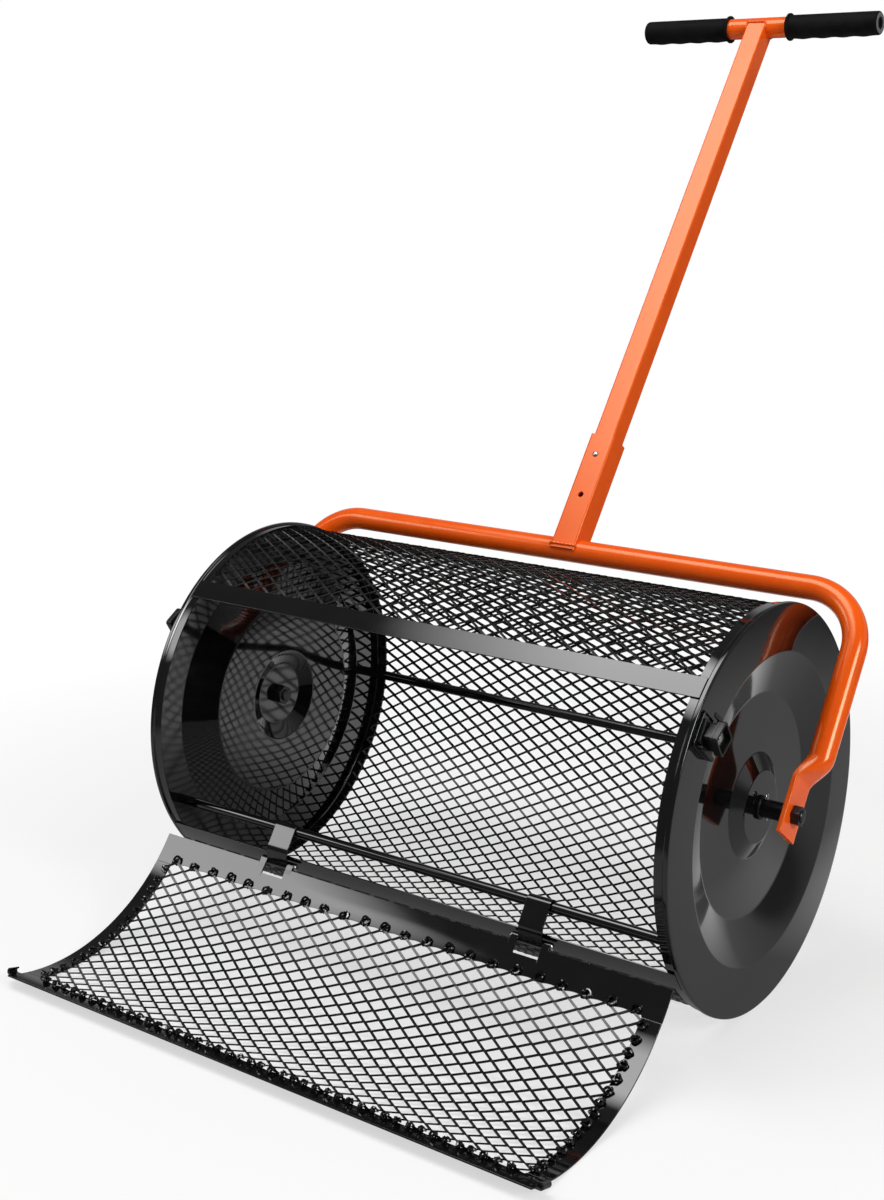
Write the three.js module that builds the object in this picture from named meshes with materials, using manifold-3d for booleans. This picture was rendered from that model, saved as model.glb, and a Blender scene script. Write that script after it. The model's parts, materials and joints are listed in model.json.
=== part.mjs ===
// Lawn topdresser: a mesh drum between two pressed end caps, rolled by a T-handled yoke.
// Millimetres, +Z up. The drum's axle runs along X, the door opens at the front (-Y) and the
// handle leans to the back (+Y). Everything is drawn round the axle's centre first, and the whole
// machine is then set down with its origin at the bottom centre of its bounding box.

import * as THREE from 'three';
import * as BufferGeometryUtils from 'three/addons/utils/BufferGeometryUtils.js';
import Module from 'manifold-3d';

const wasm = await Module();
wasm.setup();

// Driving dimensions.

const gap = 0.3; // between pieces that touch
const drumHalf = 305; // half of the 610 mm drum
const rimR = 194.4; // rolled rim of the end caps
const sheet = 1.5; // caps, straps and strips
const rimWidth = 5;
const capFacets = 36;

const meshSheet = 1.5;
const meshStrand = 3;
const drumMeshFrom = -145; // degrees round the axle from the back, over the top to the front
const drumMeshTo = 130;
const drumPanels = 7;
const doorPanels = 2;
const meshColumns = 5;
const panelRows = 2;

const upperStrapArc = [126.8, 133.2];
const lowerStrapArc = [211, 218.4];
const frontRod = { y: -152, z: -78.3, r: 5 };
const backRod = { y: 179.7, z: -21.7, r: 4.8 };

const doorCentre = { y: -332, z: 3.4 }; // centre of the open door's arc
const doorOuterR = 196.5;
const doorHalf = 302;
const doorArc = [-109.5, -35.6]; // free edge and hinge edge
const hingeStripArc = 8.8;
const latchStripArc = 7.3;
const sideStripWidth = 20;
const pivotR = 199.5; // the hinge pins' distance from the axle
const hingeX = 153;
const knuckleHalf = 13;
const pinR = 2;
const curlSheet = 1.8;
const earArc = [-107.9, -104.4];

const tubeR = 12.5; // yoke and handlebar, 25 mm tube
const armX = 341.6;
const yokeR = 226.2; // crossbar's distance from the axle
const yokeBend = 60;
const plateX = 329; // middle of the flattened ends
const plateHalf = 2.5;
const plateWidth = 38;
const plateReach = 22.5; // below the axle
const plateTop = 30;
const plateBend = 29; // length over which the tube is flattened
const handleLean = 37.3; // degrees back from upright
const socketHalf = 15;
const socketTop = 362;
const poleHalf = 12.5;
const poleBottom = 245;
const handlebarS = 943; // handlebar's distance from the axle
const handlebarHalf = 152.8;
const gripFrom = 38.6;
const gripTo = 153.1;
const buttonS = 337;
const spareHoleS = 287;

const neckR = 6; // threaded ends of the axle stubs
const stubR = 8.75;
const latchR = 171; // latch stud's distance from the axle
const latchPolar = 140.5;

const rad = THREE.MathUtils.degToRad;

// Materials.

const black = { color: 0x17181a, roughness: 0.28, metalness: 0.35 };
const orange = { color: 0xf0560f, roughness: 0.38, metalness: 0.1 };
const meshBlack = { color: 0x121214, roughness: 0.4, metalness: 0.4 };
const boltBlack = { color: 0x1c1c1e, roughness: 0.5, metalness: 0.6 };
const zinc = { color: 0xb9bcc0, roughness: 0.32, metalness: 0.9 };
const rubber = { color: 0x1e1e20, roughness: 0.8, metalness: 0 };

// Solids.

const machine = new THREE.Group();
const handle = new THREE.Group();
handle.rotation.x = -rad(handleLean);
machine.add(handle);

function add(name, geometry, look, parent = machine) {
  const mesh = new THREE.Mesh(geometry, new THREE.MeshStandardMaterial(look));
  mesh.name = name;
  parent.add(mesh);
  return mesh;
}

function welded(geometry) {
  geometry.deleteAttribute('normal');
  geometry.deleteAttribute('uv');
  return BufferGeometryUtils.mergeVertices(geometry, 1e-4);
}

function solid(geometry) {
  const g = welded(geometry.clone());
  return new wasm.Manifold(new wasm.Mesh({
    numProp: 3,
    vertProperties: new Float32Array(g.attributes.position.array),
    triVerts: new Uint32Array(g.index.array),
  }));
}

function shapeOf(body) {
  const { vertProperties, triVerts } = body.getMesh();
  const g = new THREE.BufferGeometry();
  g.setAttribute('position', new THREE.BufferAttribute(new Float32Array(vertProperties), 3));
  g.setIndex(new THREE.BufferAttribute(new Uint32Array(triVerts), 1));
  return g;
}

function fuse(...geometries) {
  return shapeOf(geometries.map(solid).reduce((a, b) => a.add(b)));
}

function cut(geometry, ...tools) {
  return shapeOf(tools.map(solid).reduce((a, b) => a.subtract(b), solid(geometry)));
}

// A closed geometry from points and triangles, turned so that its faces point out.
function closedBody(points, triangles) {
  let volume = 0;
  for (const [a, b, c] of triangles) {
    volume += points[a].dot(points[b].clone().cross(points[c]));
  }
  const faces = volume > 0 ? triangles : triangles.map(([a, b, c]) => [a, c, b]);
  const g = new THREE.BufferGeometry().setFromPoints(points);
  g.setIndex(faces.flat());
  return g;
}

// The other side's copy of a piece.
function mirrored(geometry) {
  const g = welded(geometry.clone()).scale(-1, 1, 1);
  const index = Array.from(g.index.array);
  for (let i = 0; i < index.length; i += 3) {
    [index[i], index[i + 1]] = [index[i + 1], index[i]];
  }
  g.setIndex(index);
  return g;
}

function addPair(name, geometry, look) {
  add(`left_${name}`, mirrored(geometry), look);
  add(`right_${name}`, geometry, look);
}

// A shape drawn in Y and Z, extruded along X.
function alongX(shape, x0, x1, curveSegments = 6) {
  const g = new THREE.ExtrudeGeometry(shape, { depth: x1 - x0, bevelEnabled: false, curveSegments });
  const turn = new THREE.Matrix4().makeBasis(
    new THREE.Vector3(0, 1, 0), new THREE.Vector3(0, 0, 1), new THREE.Vector3(1, 0, 0));
  return g.applyMatrix4(turn).translate(x0, 0, 0);
}

// A profile of [radius, x] points, counter-clockwise, turned about the X axis.
function aboutX(profile, segments, start = 0) {
  const points = profile.map(([r, x]) => new THREE.Vector2(r, x));
  const g = new THREE.LatheGeometry(points, segments, start, Math.PI * 2);
  const turn = new THREE.Matrix4().makeBasis(
    new THREE.Vector3(0, 0, 1), new THREE.Vector3(1, 0, 0), new THREE.Vector3(0, 1, 0));
  return welded(g.applyMatrix4(turn));
}

function rodX(y, z, r, x0, x1, segments = 16) {
  const g = aboutX([[0, x0], [r, x0], [r, x1], [0, x1]], segments);
  return g.translate(0, y, z);
}

// A sheet bent round an axis along X.
function arcPlate(r0, r1, a0, a1, x0, x1, steps, centre = { y: 0, z: 0 }) {
  const shape = new THREE.Shape();
  shape.absarc(centre.y, centre.z, r1, rad(a0), rad(a1), false);
  shape.absarc(centre.y, centre.z, r0, rad(a1), rad(a0), true);
  return alongX(shape, x0, x1, steps / 2);
}

function arcPoints(y, z, r, from, to, steps) {
  const points = [];
  for (let i = 0; i <= steps; i += 1) {
    const a = rad(from + (to - from) * i / steps);
    points.push(new THREE.Vector2(y + r * Math.cos(a), z + r * Math.sin(a)));
  }
  return points;
}

// The outline of a strip of sheet whose middle follows the points.
function stripShape(points, thickness) {
  const sides = points.map((p, i) => {
    const before = points[Math.max(i - 1, 0)];
    const after = points[Math.min(i + 1, points.length - 1)];
    const d1 = i > 0 ? p.clone().sub(before).normalize() : after.clone().sub(p).normalize();
    const d2 = i < points.length - 1 ? after.clone().sub(p).normalize() : d1;
    const normal = new THREE.Vector2(-d1.y - d2.y, d1.x + d2.x).normalize();
    const half = thickness / 2 / Math.max(0.5, normal.x * -d1.y + normal.y * d1.x);
    return [p.clone().addScaledVector(normal, half), p.clone().addScaledVector(normal, -half)];
  });
  return new THREE.Shape([...sides.map((s) => s[0]), ...sides.map((s) => s[1]).reverse()]);
}

function roundedRect(y0, y1, z0, z1, r) {
  const shape = new THREE.Shape();
  shape.absarc(y1 - r, z0 + r, r, -Math.PI / 2, 0, false);
  shape.absarc(y1 - r, z1 - r, r, 0, Math.PI / 2, false);
  shape.absarc(y0 + r, z1 - r, r, Math.PI / 2, Math.PI, false);
  shape.absarc(y0 + r, z0 + r, r, Math.PI, Math.PI * 1.5, false);
  return shape;
}

function hexagon(across, hole) {
  const shape = new THREE.Shape(arcPoints(0, 0, across / Math.sqrt(3), 0, 300, 5));
  shape.holes.push(new THREE.Path().absarc(0, 0, hole, 0, Math.PI * 2, true));
  return shape;
}

// A body through rings of points, closed at both ends.
function loft(rings) {
  const n = rings[0].length;
  const triangles = [];
  for (let i = 0; i + 1 < rings.length; i += 1) {
    for (let k = 0; k < n; k += 1) {
      const a = i * n + k;
      const b = i * n + (k + 1) % n;
      triangles.push([a, b, b + n], [a, b + n, a + n]);
    }
  }
  const last = (rings.length - 1) * n;
  for (let k = 1; k + 1 < n; k += 1) {
    triangles.push([0, k + 1, k], [last, last + k, last + k + 1]);
  }
  return closedBody(rings.flat(), triangles);
}

// End caps: flat annulus, step down to the disc, and a hub pressed outwards.

const capFace = drumHalf;
const discFace = drumHalf - 15;
const hubFace = drumHalf - 7;
const skirtOuterR = rimR - 2;
const skirtInnerR = skirtOuterR - sheet;
const skirtDepth = 14;
const hubHoleR = neckR + 0.5;

function endCap() {
  const skirtEnd = capFace - skirtDepth;
  const inside = [
    [hubHoleR, hubFace - sheet], [34.3, hubFace - sheet], [49.6, discFace - sheet],
    [104, discFace - sheet], [113, discFace - sheet + 2.4], [144, capFace - sheet - 2.2],
    [152, capFace - sheet], [skirtInnerR, capFace - sheet], [skirtInnerR, skirtEnd],
  ];
  const outside = [
    [skirtOuterR, skirtEnd], [skirtOuterR, capFace - rimWidth], [rimR, capFace - rimWidth + 0.6],
    [rimR, capFace - 0.8], [rimR - 1, capFace], [151.5, capFace], [143.5, capFace - 2.2],
    [112.5, discFace + 2.4], [103.5, discFace], [50, discFace], [35, hubFace], [hubHoleR, hubFace],
  ];
  return aboutX([...inside, ...outside, inside[0]], capFacets, Math.PI / capFacets);
}

addPair('end_cap', endCap(), black);

// Mesh: diamonds between strands that meet in flat knots. Columns run along X, rows round the
// axis. A knot is a rhombus, and its four corners are the corners of the diamonds round it.

function diamondMesh(outerR, a0, a1, x0, x1, centre) {
  const innerR = outerR - meshSheet;
  const dx = (x1 - x0) / (2 * meshColumns);
  const da = rad(a1 - a0) / (2 * panelRows);
  const slope = Math.atan2(da * outerR, dx);
  const reachX = meshStrand / 2 / Math.sin(slope);
  const reachA = meshStrand / 2 / Math.cos(slope) / outerR;
  const edge = gap / 2 / innerR;
  const points = [];
  const knots = new Map();

  function corner(x, a) {
    const angle = THREE.MathUtils.clamp(a, rad(a0) + edge, rad(a1) - edge);
    const along = THREE.MathUtils.clamp(x, x0, x1);
    for (const r of [outerR, innerR]) {
      points.push(new THREE.Vector3(
        along, centre.y + r * Math.cos(angle), centre.z + r * Math.sin(angle)));
    }
    return points.length / 2 - 1;
  }

  const patches = [];
  for (let j = 0; j <= 2 * panelRows; j += 1) {
    for (let i = 1 - (j % 2); i <= 2 * meshColumns; i += 2) {
      const x = x0 + i * dx;
      const a = rad(a0) + j * da;
      const knot = {
        left: corner(x - reachX, a),
        right: corner(x + reachX, a),
        low: corner(x, a - reachA),
        high: corner(x, a + reachA),
      };
      knots.set(`${i},${j}`, knot);
      const onSide = i === 0 || i === 2 * meshColumns;
      if (onSide) {
        patches.push([knot.left, knot.low, knot.right], [knot.left, knot.right, knot.high]);
      } else {
        patches.push([knot.low, knot.right, knot.high], [knot.low, knot.high, knot.left]);
      }
      const lowLeft = knots.get(`${i - 1},${j - 1}`);
      if (lowLeft) {
        patches.push([lowLeft.high, lowLeft.right, knot.low], [lowLeft.high, knot.low, knot.left]);
      }
      const lowRight = knots.get(`${i + 1},${j - 1}`);
      if (lowRight) {
        patches.push([lowRight.left, lowRight.high, knot.right], [lowRight.left, knot.right, knot.low]);
      }
    }
  }

  const triangles = [];
  const open = new Set();
  for (const [a, b, c] of patches) {
    triangles.push([2 * a, 2 * c, 2 * b], [2 * a + 1, 2 * b + 1, 2 * c + 1]);
    for (const [p, q] of [[a, b], [b, c], [c, a]]) {
      if (!open.delete(`${q},${p}`)) {
        open.add(`${p},${q}`);
      }
    }
  }
  for (const side of open) {
    const [p, q] = side.split(',').map(Number);
    triangles.push([2 * p, 2 * q, 2 * q + 1], [2 * p, 2 * q + 1, 2 * p + 1]);
  }
  return closedBody(points, triangles);
}

const drumMeshR = skirtInnerR - 1;
const drumMeshHalf = drumHalf - 7;
const panelArc = (drumMeshTo - drumMeshFrom) / drumPanels;

for (let i = 0; i < drumPanels; i += 1) {
  const from = drumMeshFrom + i * panelArc;
  const panel = diamondMesh(
    drumMeshR, from, from + panelArc, -drumMeshHalf, drumMeshHalf, { y: 0, z: 0 });
  add(`drum_mesh_${i + 1}`, panel, meshBlack);
}

// Straps across the front, lying on both skirts, and the two rods between the caps.

const strapInnerR = skirtOuterR + gap;
const strapOuterR = strapInnerR + sheet;
const strapHalf = capFace - rimWidth - gap;
const rodHalf = capFace - sheet - gap;

for (const [name, [a0, a1]] of [['upper', upperStrapArc], ['lower', lowerStrapArc]]) {
  const strap = arcPlate(strapInnerR, strapOuterR, a0, a1, -strapHalf, strapHalf, 2);
  add(`${name}_front_strap`, strap, black);
}

add('front_rod', rodX(frontRod.y, frontRod.z, frontRod.r, -rodHalf, rodHalf), black);
add('back_tie_rod', rodX(backRod.y, backRod.z, backRod.r, -rodHalf, rodHalf), black);

// Door hinge. The pin lies where the closed door's axis, the drum's own, turns into the open
// door's axis, just outside the lower strap.

const between = Math.hypot(doorCentre.y, doorCentre.z);
const pivotDrop = Math.sqrt(pivotR ** 2 - (between / 2) ** 2);
const pivot = {
  y: doorCentre.y / 2 - pivotDrop * doorCentre.z / between,
  z: doorCentre.z / 2 + pivotDrop * doorCentre.y / between,
};
const curlR = pinR + gap + curlSheet / 2;

// A strap rolled round the front rod, bent over the lower strap's edge and rolled round the pin.
function hingeStrap() {
  const rodLoopR = frontRod.r + gap + curlSheet / 2;
  const middle = [
    ...arcPoints(frontRod.y, frontRod.z, rodLoopR, -100, 134, 8),
    new THREE.Vector2(-167, -89.6),
    new THREE.Vector2(-169.8, -92.8),
    new THREE.Vector2(-170.3, -97),
    ...arcPoints(pivot.y, pivot.z, curlR, 180, 440, 8),
  ];
  return alongX(stripShape(middle, curlSheet), hingeX - knuckleHalf, hingeX + knuckleHalf);
}

function hingePin() {
  const reach = knuckleHalf + gap + 8 + gap;
  const profile = [
    [0, -reach - 1.5], [pinR + 1, -reach - 1.5], [pinR + 1, -reach], [pinR, -reach],
    [pinR, reach], [pinR + 1, reach], [pinR + 1, reach + 1.5], [0, reach + 1.5],
  ];
  return aboutX(profile, 12).translate(hingeX, pivot.y, pivot.z);
}

addPair('hinge_strap', hingeStrap(), black);
addPair('hinge_pin', hingePin(), zinc);

// Axle stubs with their nuts, collars and cotter pins.

const stubFrom = hubFace + gap;
const stubTo = plateX - plateHalf - gap;
const collarTo = stubFrom + 3.2;
const collarR = 11.5;
const cotterX = collarTo + 2.6;

function axleStub() {
  const threadEnd = plateX + plateHalf + gap + 9.6;
  const profile = [
    [0, discFace - 5], [neckR - 0.8, discFace - 5], [neckR, discFace - 4.2], [neckR, stubFrom],
    [stubR, stubFrom], [stubR, stubTo], [neckR, stubTo], [neckR, threadEnd - 0.8],
    [neckR - 0.8, threadEnd], [0, threadEnd],
  ];
  const crossHole = new THREE.CylinderGeometry(1.6, 1.6, 40, 8).rotateX(-Math.PI / 2);
  return cut(aboutX(profile, 14), crossHole.translate(cotterX, 0, 0));
}

function cotterPin() {
  const shank = new THREE.CylinderGeometry(1.2, 1.2, 27, 8);
  const eye = new THREE.TorusGeometry(2.8, 1.1, 5, 10).rotateY(Math.PI / 2).translate(0, -15.6, 0);
  return fuse(shank, eye).rotateX(-Math.PI / 2).translate(cotterX, 0, 0);
}

const nutFrom = plateX + plateHalf + gap;
const hubInside = hubFace - sheet - gap;

addPair('axle_stub', axleStub(), boltBlack);
addPair('hub_nut', alongX(hexagon(19, neckR + 0.4), hubInside - 9, hubInside, 6), boltBlack);
addPair('hub_collar', aboutX([
  [stubR + gap, stubFrom], [collarR, stubFrom], [collarR, collarTo - 0.8], [collarR - 0.8, collarTo],
  [stubR + gap, collarTo], [stubR + gap, stubFrom],
], 16), boltBlack);
addPair('cotter_pin', cotterPin(), zinc);
addPair('axle_nut', alongX(hexagon(17, neckR + 0.4), nutFrom, nutFrom + 8, 6), boltBlack);

// Latches, drawn with the radius along Y and the rim's tangent along Z, then turned into place.

const bracketFrom = capFace + gap;
const bracketTo = bracketFrom + 1.8;
const barrelFrom = bracketTo + gap;
const barrelTo = 317.6;
const knobTo = 324.6;
const knobFloor = barrelTo + 1.8;
const knobHalf = 11.6;
const studR = 3.2;

function intoLatchPlace(geometry) {
  return geometry.rotateX(rad(latchPolar));
}

function latchBracket() {
  const plate = alongX(roundedRect(152, 188, -16.4, 16.4, 3), bracketFrom, bracketTo, 2);
  const lip = roundedRect(153, 182, 11.4, 16.4, 2.4);
  lip.holes.push(new THREE.Path(roundedRect(155, 180, 13, 14.8, 0.8).getPoints(2).reverse()));
  const rivets = [-11, 6].map((t) => rodX(156.5, t, 2.6, bracketTo - 0.5, bracketTo + 1.2, 10));
  const stud = rodX(latchR, 0, studR, bracketTo - 0.5, knobFloor + 1.6, 12);
  return fuse(plate, alongX(lip, bracketTo - 0.5, bracketTo + 3.4, 2), stud, ...rivets);
}

// The barrel, the finger that holds the door's ear and the square cup turn as one piece.
function latchKnob() {
  const bore = new THREE.Path(arcPoints(0, 0, studR + gap, 330, 0, 11));
  const barrel = new THREE.Shape().absarc(0, 0, 9, 0, Math.PI * 2, false);
  barrel.holes.push(bore);
  const finger = new THREE.Shape([
    [-4.4, -2], [-4.4, -17], [5, -17], [5, -21], [-9.5, -21], [-9.5, -4], [-6, 2],
  ].map(([y, z]) => new THREE.Vector2(y, z)));
  const cup = roundedRect(-knobHalf, knobHalf, -knobHalf, knobHalf, 3);
  const floor = cup.clone();
  floor.holes = [bore];
  const inside = knobHalf - 2.2;
  cup.holes.push(new THREE.Path(roundedRect(-inside, inside, -inside, inside, 2).getPoints(1).reverse()));
  const turned = rad(32) - rad(latchPolar);
  return fuse(
    alongX(barrel, barrelFrom, barrelTo, 6),
    alongX(finger, 309.8, 312.3),
    alongX(floor, barrelTo - 0.2, knobFloor, 2).rotateX(turned),
    alongX(cup, knobFloor - 0.2, knobTo, 2).rotateX(turned),
  ).translate(0, latchR, 0);
}

const retainer = aboutX([
  [studR + gap, knobFloor + gap], [6, knobFloor + gap], [6, knobFloor + gap + 0.8],
  [studR + gap, knobFloor + gap + 0.8], [studR + gap, knobFloor + gap],
], 12).translate(0, latchR, 0);

addPair('latch_bracket', intoLatchPlace(latchBracket()), black);
addPair('latch_knob', intoLatchPlace(latchKnob()), boltBlack);
addPair('latch_retainer', intoLatchPlace(retainer), zinc);

// Door, drawn open as it rests on the ground.

const doorInnerR = doorOuterR - 1.6;
const [doorFree, doorHinge] = doorArc;
const hingeStripFrom = doorHinge - hingeStripArc;
const latchStripTo = doorFree + latchStripArc;
const seam = 0.1;

// The strip that carries the hinge eyes, notched where the knuckles swing into it.
function doorHingeStrip() {
  const strip = arcPlate(
    doorInnerR, doorOuterR, hingeStripFrom, doorHinge, -doorHalf, doorHalf, 4, doorCentre);
  const notchHalf = knuckleHalf + 0.7;
  const notchR = [doorInnerR - 5, doorOuterR + 5];
  const notch = arcPlate(...notchR, doorHinge - 3, doorHinge + 2, -notchHalf, notchHalf, 2, doorCentre);
  const middleR = (doorInnerR + doorOuterR) / 2;
  const middle = [
    ...arcPoints(doorCentre.y, doorCentre.z, middleR, doorHinge - 2, doorHinge + 0.6, 2),
    ...arcPoints(pivot.y, pivot.z, curlR, 148, -140, 8),
  ];
  const eye = alongX(stripShape(middle, curlSheet), 0, 8);
  const eyes = [];
  const notches = [];
  for (const side of [-1, 1]) {
    notches.push(notch.clone().translate(side * hingeX, 0, 0));
    eyes.push(eye.clone().translate(side * hingeX + knuckleHalf + gap, 0, 0));
    eyes.push(eye.clone().translate(side * hingeX - knuckleHalf - gap - 8, 0, 0));
  }
  return fuse(cut(strip, ...notches), ...eyes);
}

// An ear: a tab that runs on past the strip's end, turns in over the cap's face and curls out.
// It is drawn in X and the radius, and pushed along the strip's length.
function doorEar() {
  const middleR = (doorInnerR + doorOuterR) / 2;
  const middle = [
    [292, middleR], [306.2, middleR], [308, middleR - 0.6], [308.6, middleR - 2.2],
    [308.6, 187.6], [309.2, 186], [310.6, 185.3], [312.4, 185.1],
  ].map(([x, r]) => new THREE.Vector2(x, r));
  const width = rad(earArc[1] - earArc[0]) * middleR;
  const tab = new THREE.ExtrudeGeometry(
    stripShape(middle, doorOuterR - doorInnerR), { depth: width, bevelEnabled: false });
  tab.translate(0, 0, -width / 2);
  const a = rad((earArc[0] + earArc[1]) / 2);
  const outward = new THREE.Vector3(0, Math.cos(a), Math.sin(a));
  const across = new THREE.Vector3(1, 0, 0).cross(outward);
  tab.applyMatrix4(new THREE.Matrix4().makeBasis(new THREE.Vector3(1, 0, 0), outward, across));
  return tab.translate(0, doorCentre.y, doorCentre.z);
}

function doorLatchStrip() {
  const strip = arcPlate(
    doorInnerR, doorOuterR, doorFree, latchStripTo, -doorHalf, doorHalf, 4, doorCentre);
  const ear = doorEar();
  return fuse(strip, ear, mirrored(ear));
}

add('door_hinge_strip', doorHingeStrip(), black);
add('door_latch_strip', doorLatchStrip(), black);
addPair('door_side_strip', arcPlate(
  doorInnerR, doorOuterR, latchStripTo + seam, hingeStripFrom - seam,
  doorHalf - sideStripWidth, doorHalf, 16, doorCentre), black);

const doorMeshR = doorInnerR - 0.5;
const doorMeshArc = [doorFree + 2.5, doorHinge - 4.5];
const doorMeshHalf = doorHalf - sideStripWidth + 2.5;
const doorPanelArc = (doorMeshArc[1] - doorMeshArc[0]) / doorPanels;

for (let i = 0; i < doorPanels; i += 1) {
  const from = doorMeshArc[0] + i * doorPanelArc;
  const panel = diamondMesh(
    doorMeshR, from, from + doorPanelArc, -doorMeshHalf, doorMeshHalf, doorCentre);
  add(`door_mesh_${i + 1}`, panel, meshBlack);
}

// Handle, drawn upright: Z runs up from the axle and -Y is the front.

// The yoke's section changes from a round tube to a flat plate of the same girth.
function yokeRing(x, z, towardsX, towardsZ, flatness) {
  const ring = [];
  const halfWidth = THREE.MathUtils.lerp(tubeR, plateWidth / 2, flatness);
  const halfDepth = THREE.MathUtils.lerp(tubeR, plateHalf, flatness);
  const squareness = THREE.MathUtils.lerp(1, 0.22, flatness);
  for (let k = 0; k < 12; k += 1) {
    const a = (k + 0.5) * Math.PI / 6;
    const across = Math.sign(Math.cos(a)) * Math.abs(Math.cos(a)) ** squareness * halfWidth;
    const deep = Math.sign(Math.sin(a)) * Math.abs(Math.sin(a)) ** squareness * halfDepth;
    ring.push(new THREE.Vector3(x + deep * towardsZ, across, z - deep * towardsX));
  }
  return ring;
}

function yokeHalf() {
  const rings = [yokeRing(plateX, -plateReach, 0, 1, 1), yokeRing(plateX, plateTop, 0, 1, 1)];
  for (const t of [0.15, 0.35, 0.5, 0.65, 0.85, 1]) {
    const s = t * t * (3 - 2 * t);
    const x = THREE.MathUtils.lerp(plateX, armX, s);
    const z = plateTop + plateBend * t;
    const lean = Math.atan(6 * t * (1 - t) * (armX - plateX) / plateBend);
    rings.push(yokeRing(x, z, Math.sin(lean), Math.cos(lean), 1 - s));
  }
  const bendX = armX - yokeBend;
  const bendZ = yokeR - yokeBend;
  for (let i = 0; i <= 8; i += 1) {
    const a = i * Math.PI / 16;
    const x = bendX + yokeBend * Math.cos(a);
    const z = bendZ + yokeBend * Math.sin(a);
    rings.push(yokeRing(x, z, -Math.sin(a), Math.cos(a), 0));
  }
  return rings;
}

function yoke() {
  const right = yokeHalf();
  const left = right.map((ring) => ring.map((p) => new THREE.Vector3(-p.x, p.y, p.z))).reverse();
  const eyeHole = rodX(0, 0, neckR + 0.5, -armX - 30, armX + 30, 18);
  return cut(loft([...right, ...left]), eyeHole);
}

function squareTube(half, wall, z0, z1, corner) {
  const shape = roundedRect(-half, half, -half, half, corner);
  const inner = half - wall;
  const bore = roundedRect(-inner, inner, -inner, inner, corner - 1);
  shape.holes.push(new THREE.Path(bore.getPoints(1).reverse()));
  const g = new THREE.ExtrudeGeometry(shape, { depth: z1 - z0, bevelEnabled: false, curveSegments: 1 });
  return g.translate(0, 0, z0);
}

function frontHole(r, z) {
  return new THREE.CylinderGeometry(r, r, 10, 10).translate(0, -socketHalf, z);
}

const socketWall = 2;
const poleWall = 1.5;
const buttonR = 3;
const holeR = buttonR + 0.4;

add('yoke_tube', yoke(), orange, handle);
add('pole_socket', cut(
  squareTube(socketHalf, socketWall, yokeR - 4, socketTop, 2.5),
  rodX(0, yokeR, tubeR + gap, -60, 60, 20),
  frontHole(holeR, buttonS), frontHole(holeR, spareHoleS)), orange, handle);
add('pole', cut(
  squareTube(poleHalf, poleWall, poleBottom, handlebarS, 2.2),
  rodX(0, handlebarS, tubeR + gap, -60, 60, 20),
  frontHole(holeR, buttonS), frontHole(holeR, spareHoleS)), orange, handle);

const handlebar = aboutX([
  [tubeR - 2, -handlebarHalf], [tubeR, -handlebarHalf], [tubeR, handlebarHalf],
  [tubeR - 2, handlebarHalf], [tubeR - 2, -handlebarHalf],
], 18).translate(0, 0, handlebarS);
add('handlebar', handlebar, orange, handle);

// A rubber sleeve with a flange at its inner end and finger waves underneath.
function grip() {
  const rings = [];
  const sides = 12;
  const bodyFrom = gripFrom + 6;
  const wave = (gripTo - bodyFrom - 6) / 4;
  function ring(x, r, swell) {
    const points = [];
    for (let k = 0; k < sides; k += 1) {
      const a = k * 2 * Math.PI / sides;
      const under = Math.max(0, -Math.sin(a));
      const reach = r + swell * under;
      points.push(new THREE.Vector3(x, reach * Math.cos(a), reach * Math.sin(a)));
    }
    rings.push(points);
  }
  ring(gripFrom, 15.5, 0);
  ring(gripFrom + 0.8, 16.5, 0);
  ring(gripFrom + 3.2, 16.5, 0);
  ring(gripFrom + 4.2, 14.4, 0);
  for (let i = 0; i <= 8; i += 1) {
    ring(bodyFrom + i * wave / 2, 14.1, i % 2 ? 2.2 : 0);
  }
  ring(gripTo - 1, 14.1, 0);
  ring(gripTo, 13.7, 0);
  return cut(loft(rings), rodX(0, 0, tubeR + gap, gripFrom - 5, gripTo + 5, 16));
}

const rightGrip = grip().translate(0, 0, handlebarS);
add('left_grip', mirrored(rightGrip), rubber, handle);
add('right_grip', rightGrip, rubber, handle);

// Spring button: a pin riveted to the free leg of a V spring inside the pole.
function snapButton() {
  const wallInside = -poleHalf + poleWall;
  const proud = socketHalf + 2.4;
  const pin = aboutX([
    [0, -wallInside - 1.4], [buttonR + 2, -wallInside - 1.4], [buttonR + 2, -wallInside - gap],
    [buttonR, -wallInside - gap], [buttonR, proud - 0.8], [buttonR - 1, proud], [0, proud],
  ], 16);
  const towardsFront = pin.rotateZ(-Math.PI / 2).translate(0, 0, buttonS);
  const middle = [
    [wallInside + 0.9, buttonS + 5], [wallInside + 0.9, buttonS - 18], [-4, buttonS - 34],
    [-2, buttonS - 37], [0, buttonS - 34], [6.4, buttonS - 16],
  ].map(([y, z]) => new THREE.Vector2(y, z));
  return fuse(towardsFront, alongX(stripShape(middle, 0.9), -4, 4));
}

add('snap_button', snapButton(), zinc, handle);

// Set the machine down with its origin at the bottom centre of its bounding box.

machine.updateMatrixWorld(true);
const box = new THREE.Box3().setFromObject(machine, true);
const middle = box.getCenter(new THREE.Vector3());
machine.position.set(-middle.x, -middle.y, -box.min.z);

export default machine;
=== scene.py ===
# %% [markdown]
# # A lawn topdresser, dressed
# The machine is a mesh drum that rolls between two pressed steel caps. A tube yoke swings on the
# drum's two axle stubs and carries a square pole with a T-handle. The mesh door in front lies open.
# The sizes and the moving bodies come from a packed frame. This lesson makes the surfaces that
# people see: the rolled sheet, the diamond mesh, the paint and the rubber.

import json
import math

import bmesh
import bpy
from mathutils import Matrix, Vector


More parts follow.
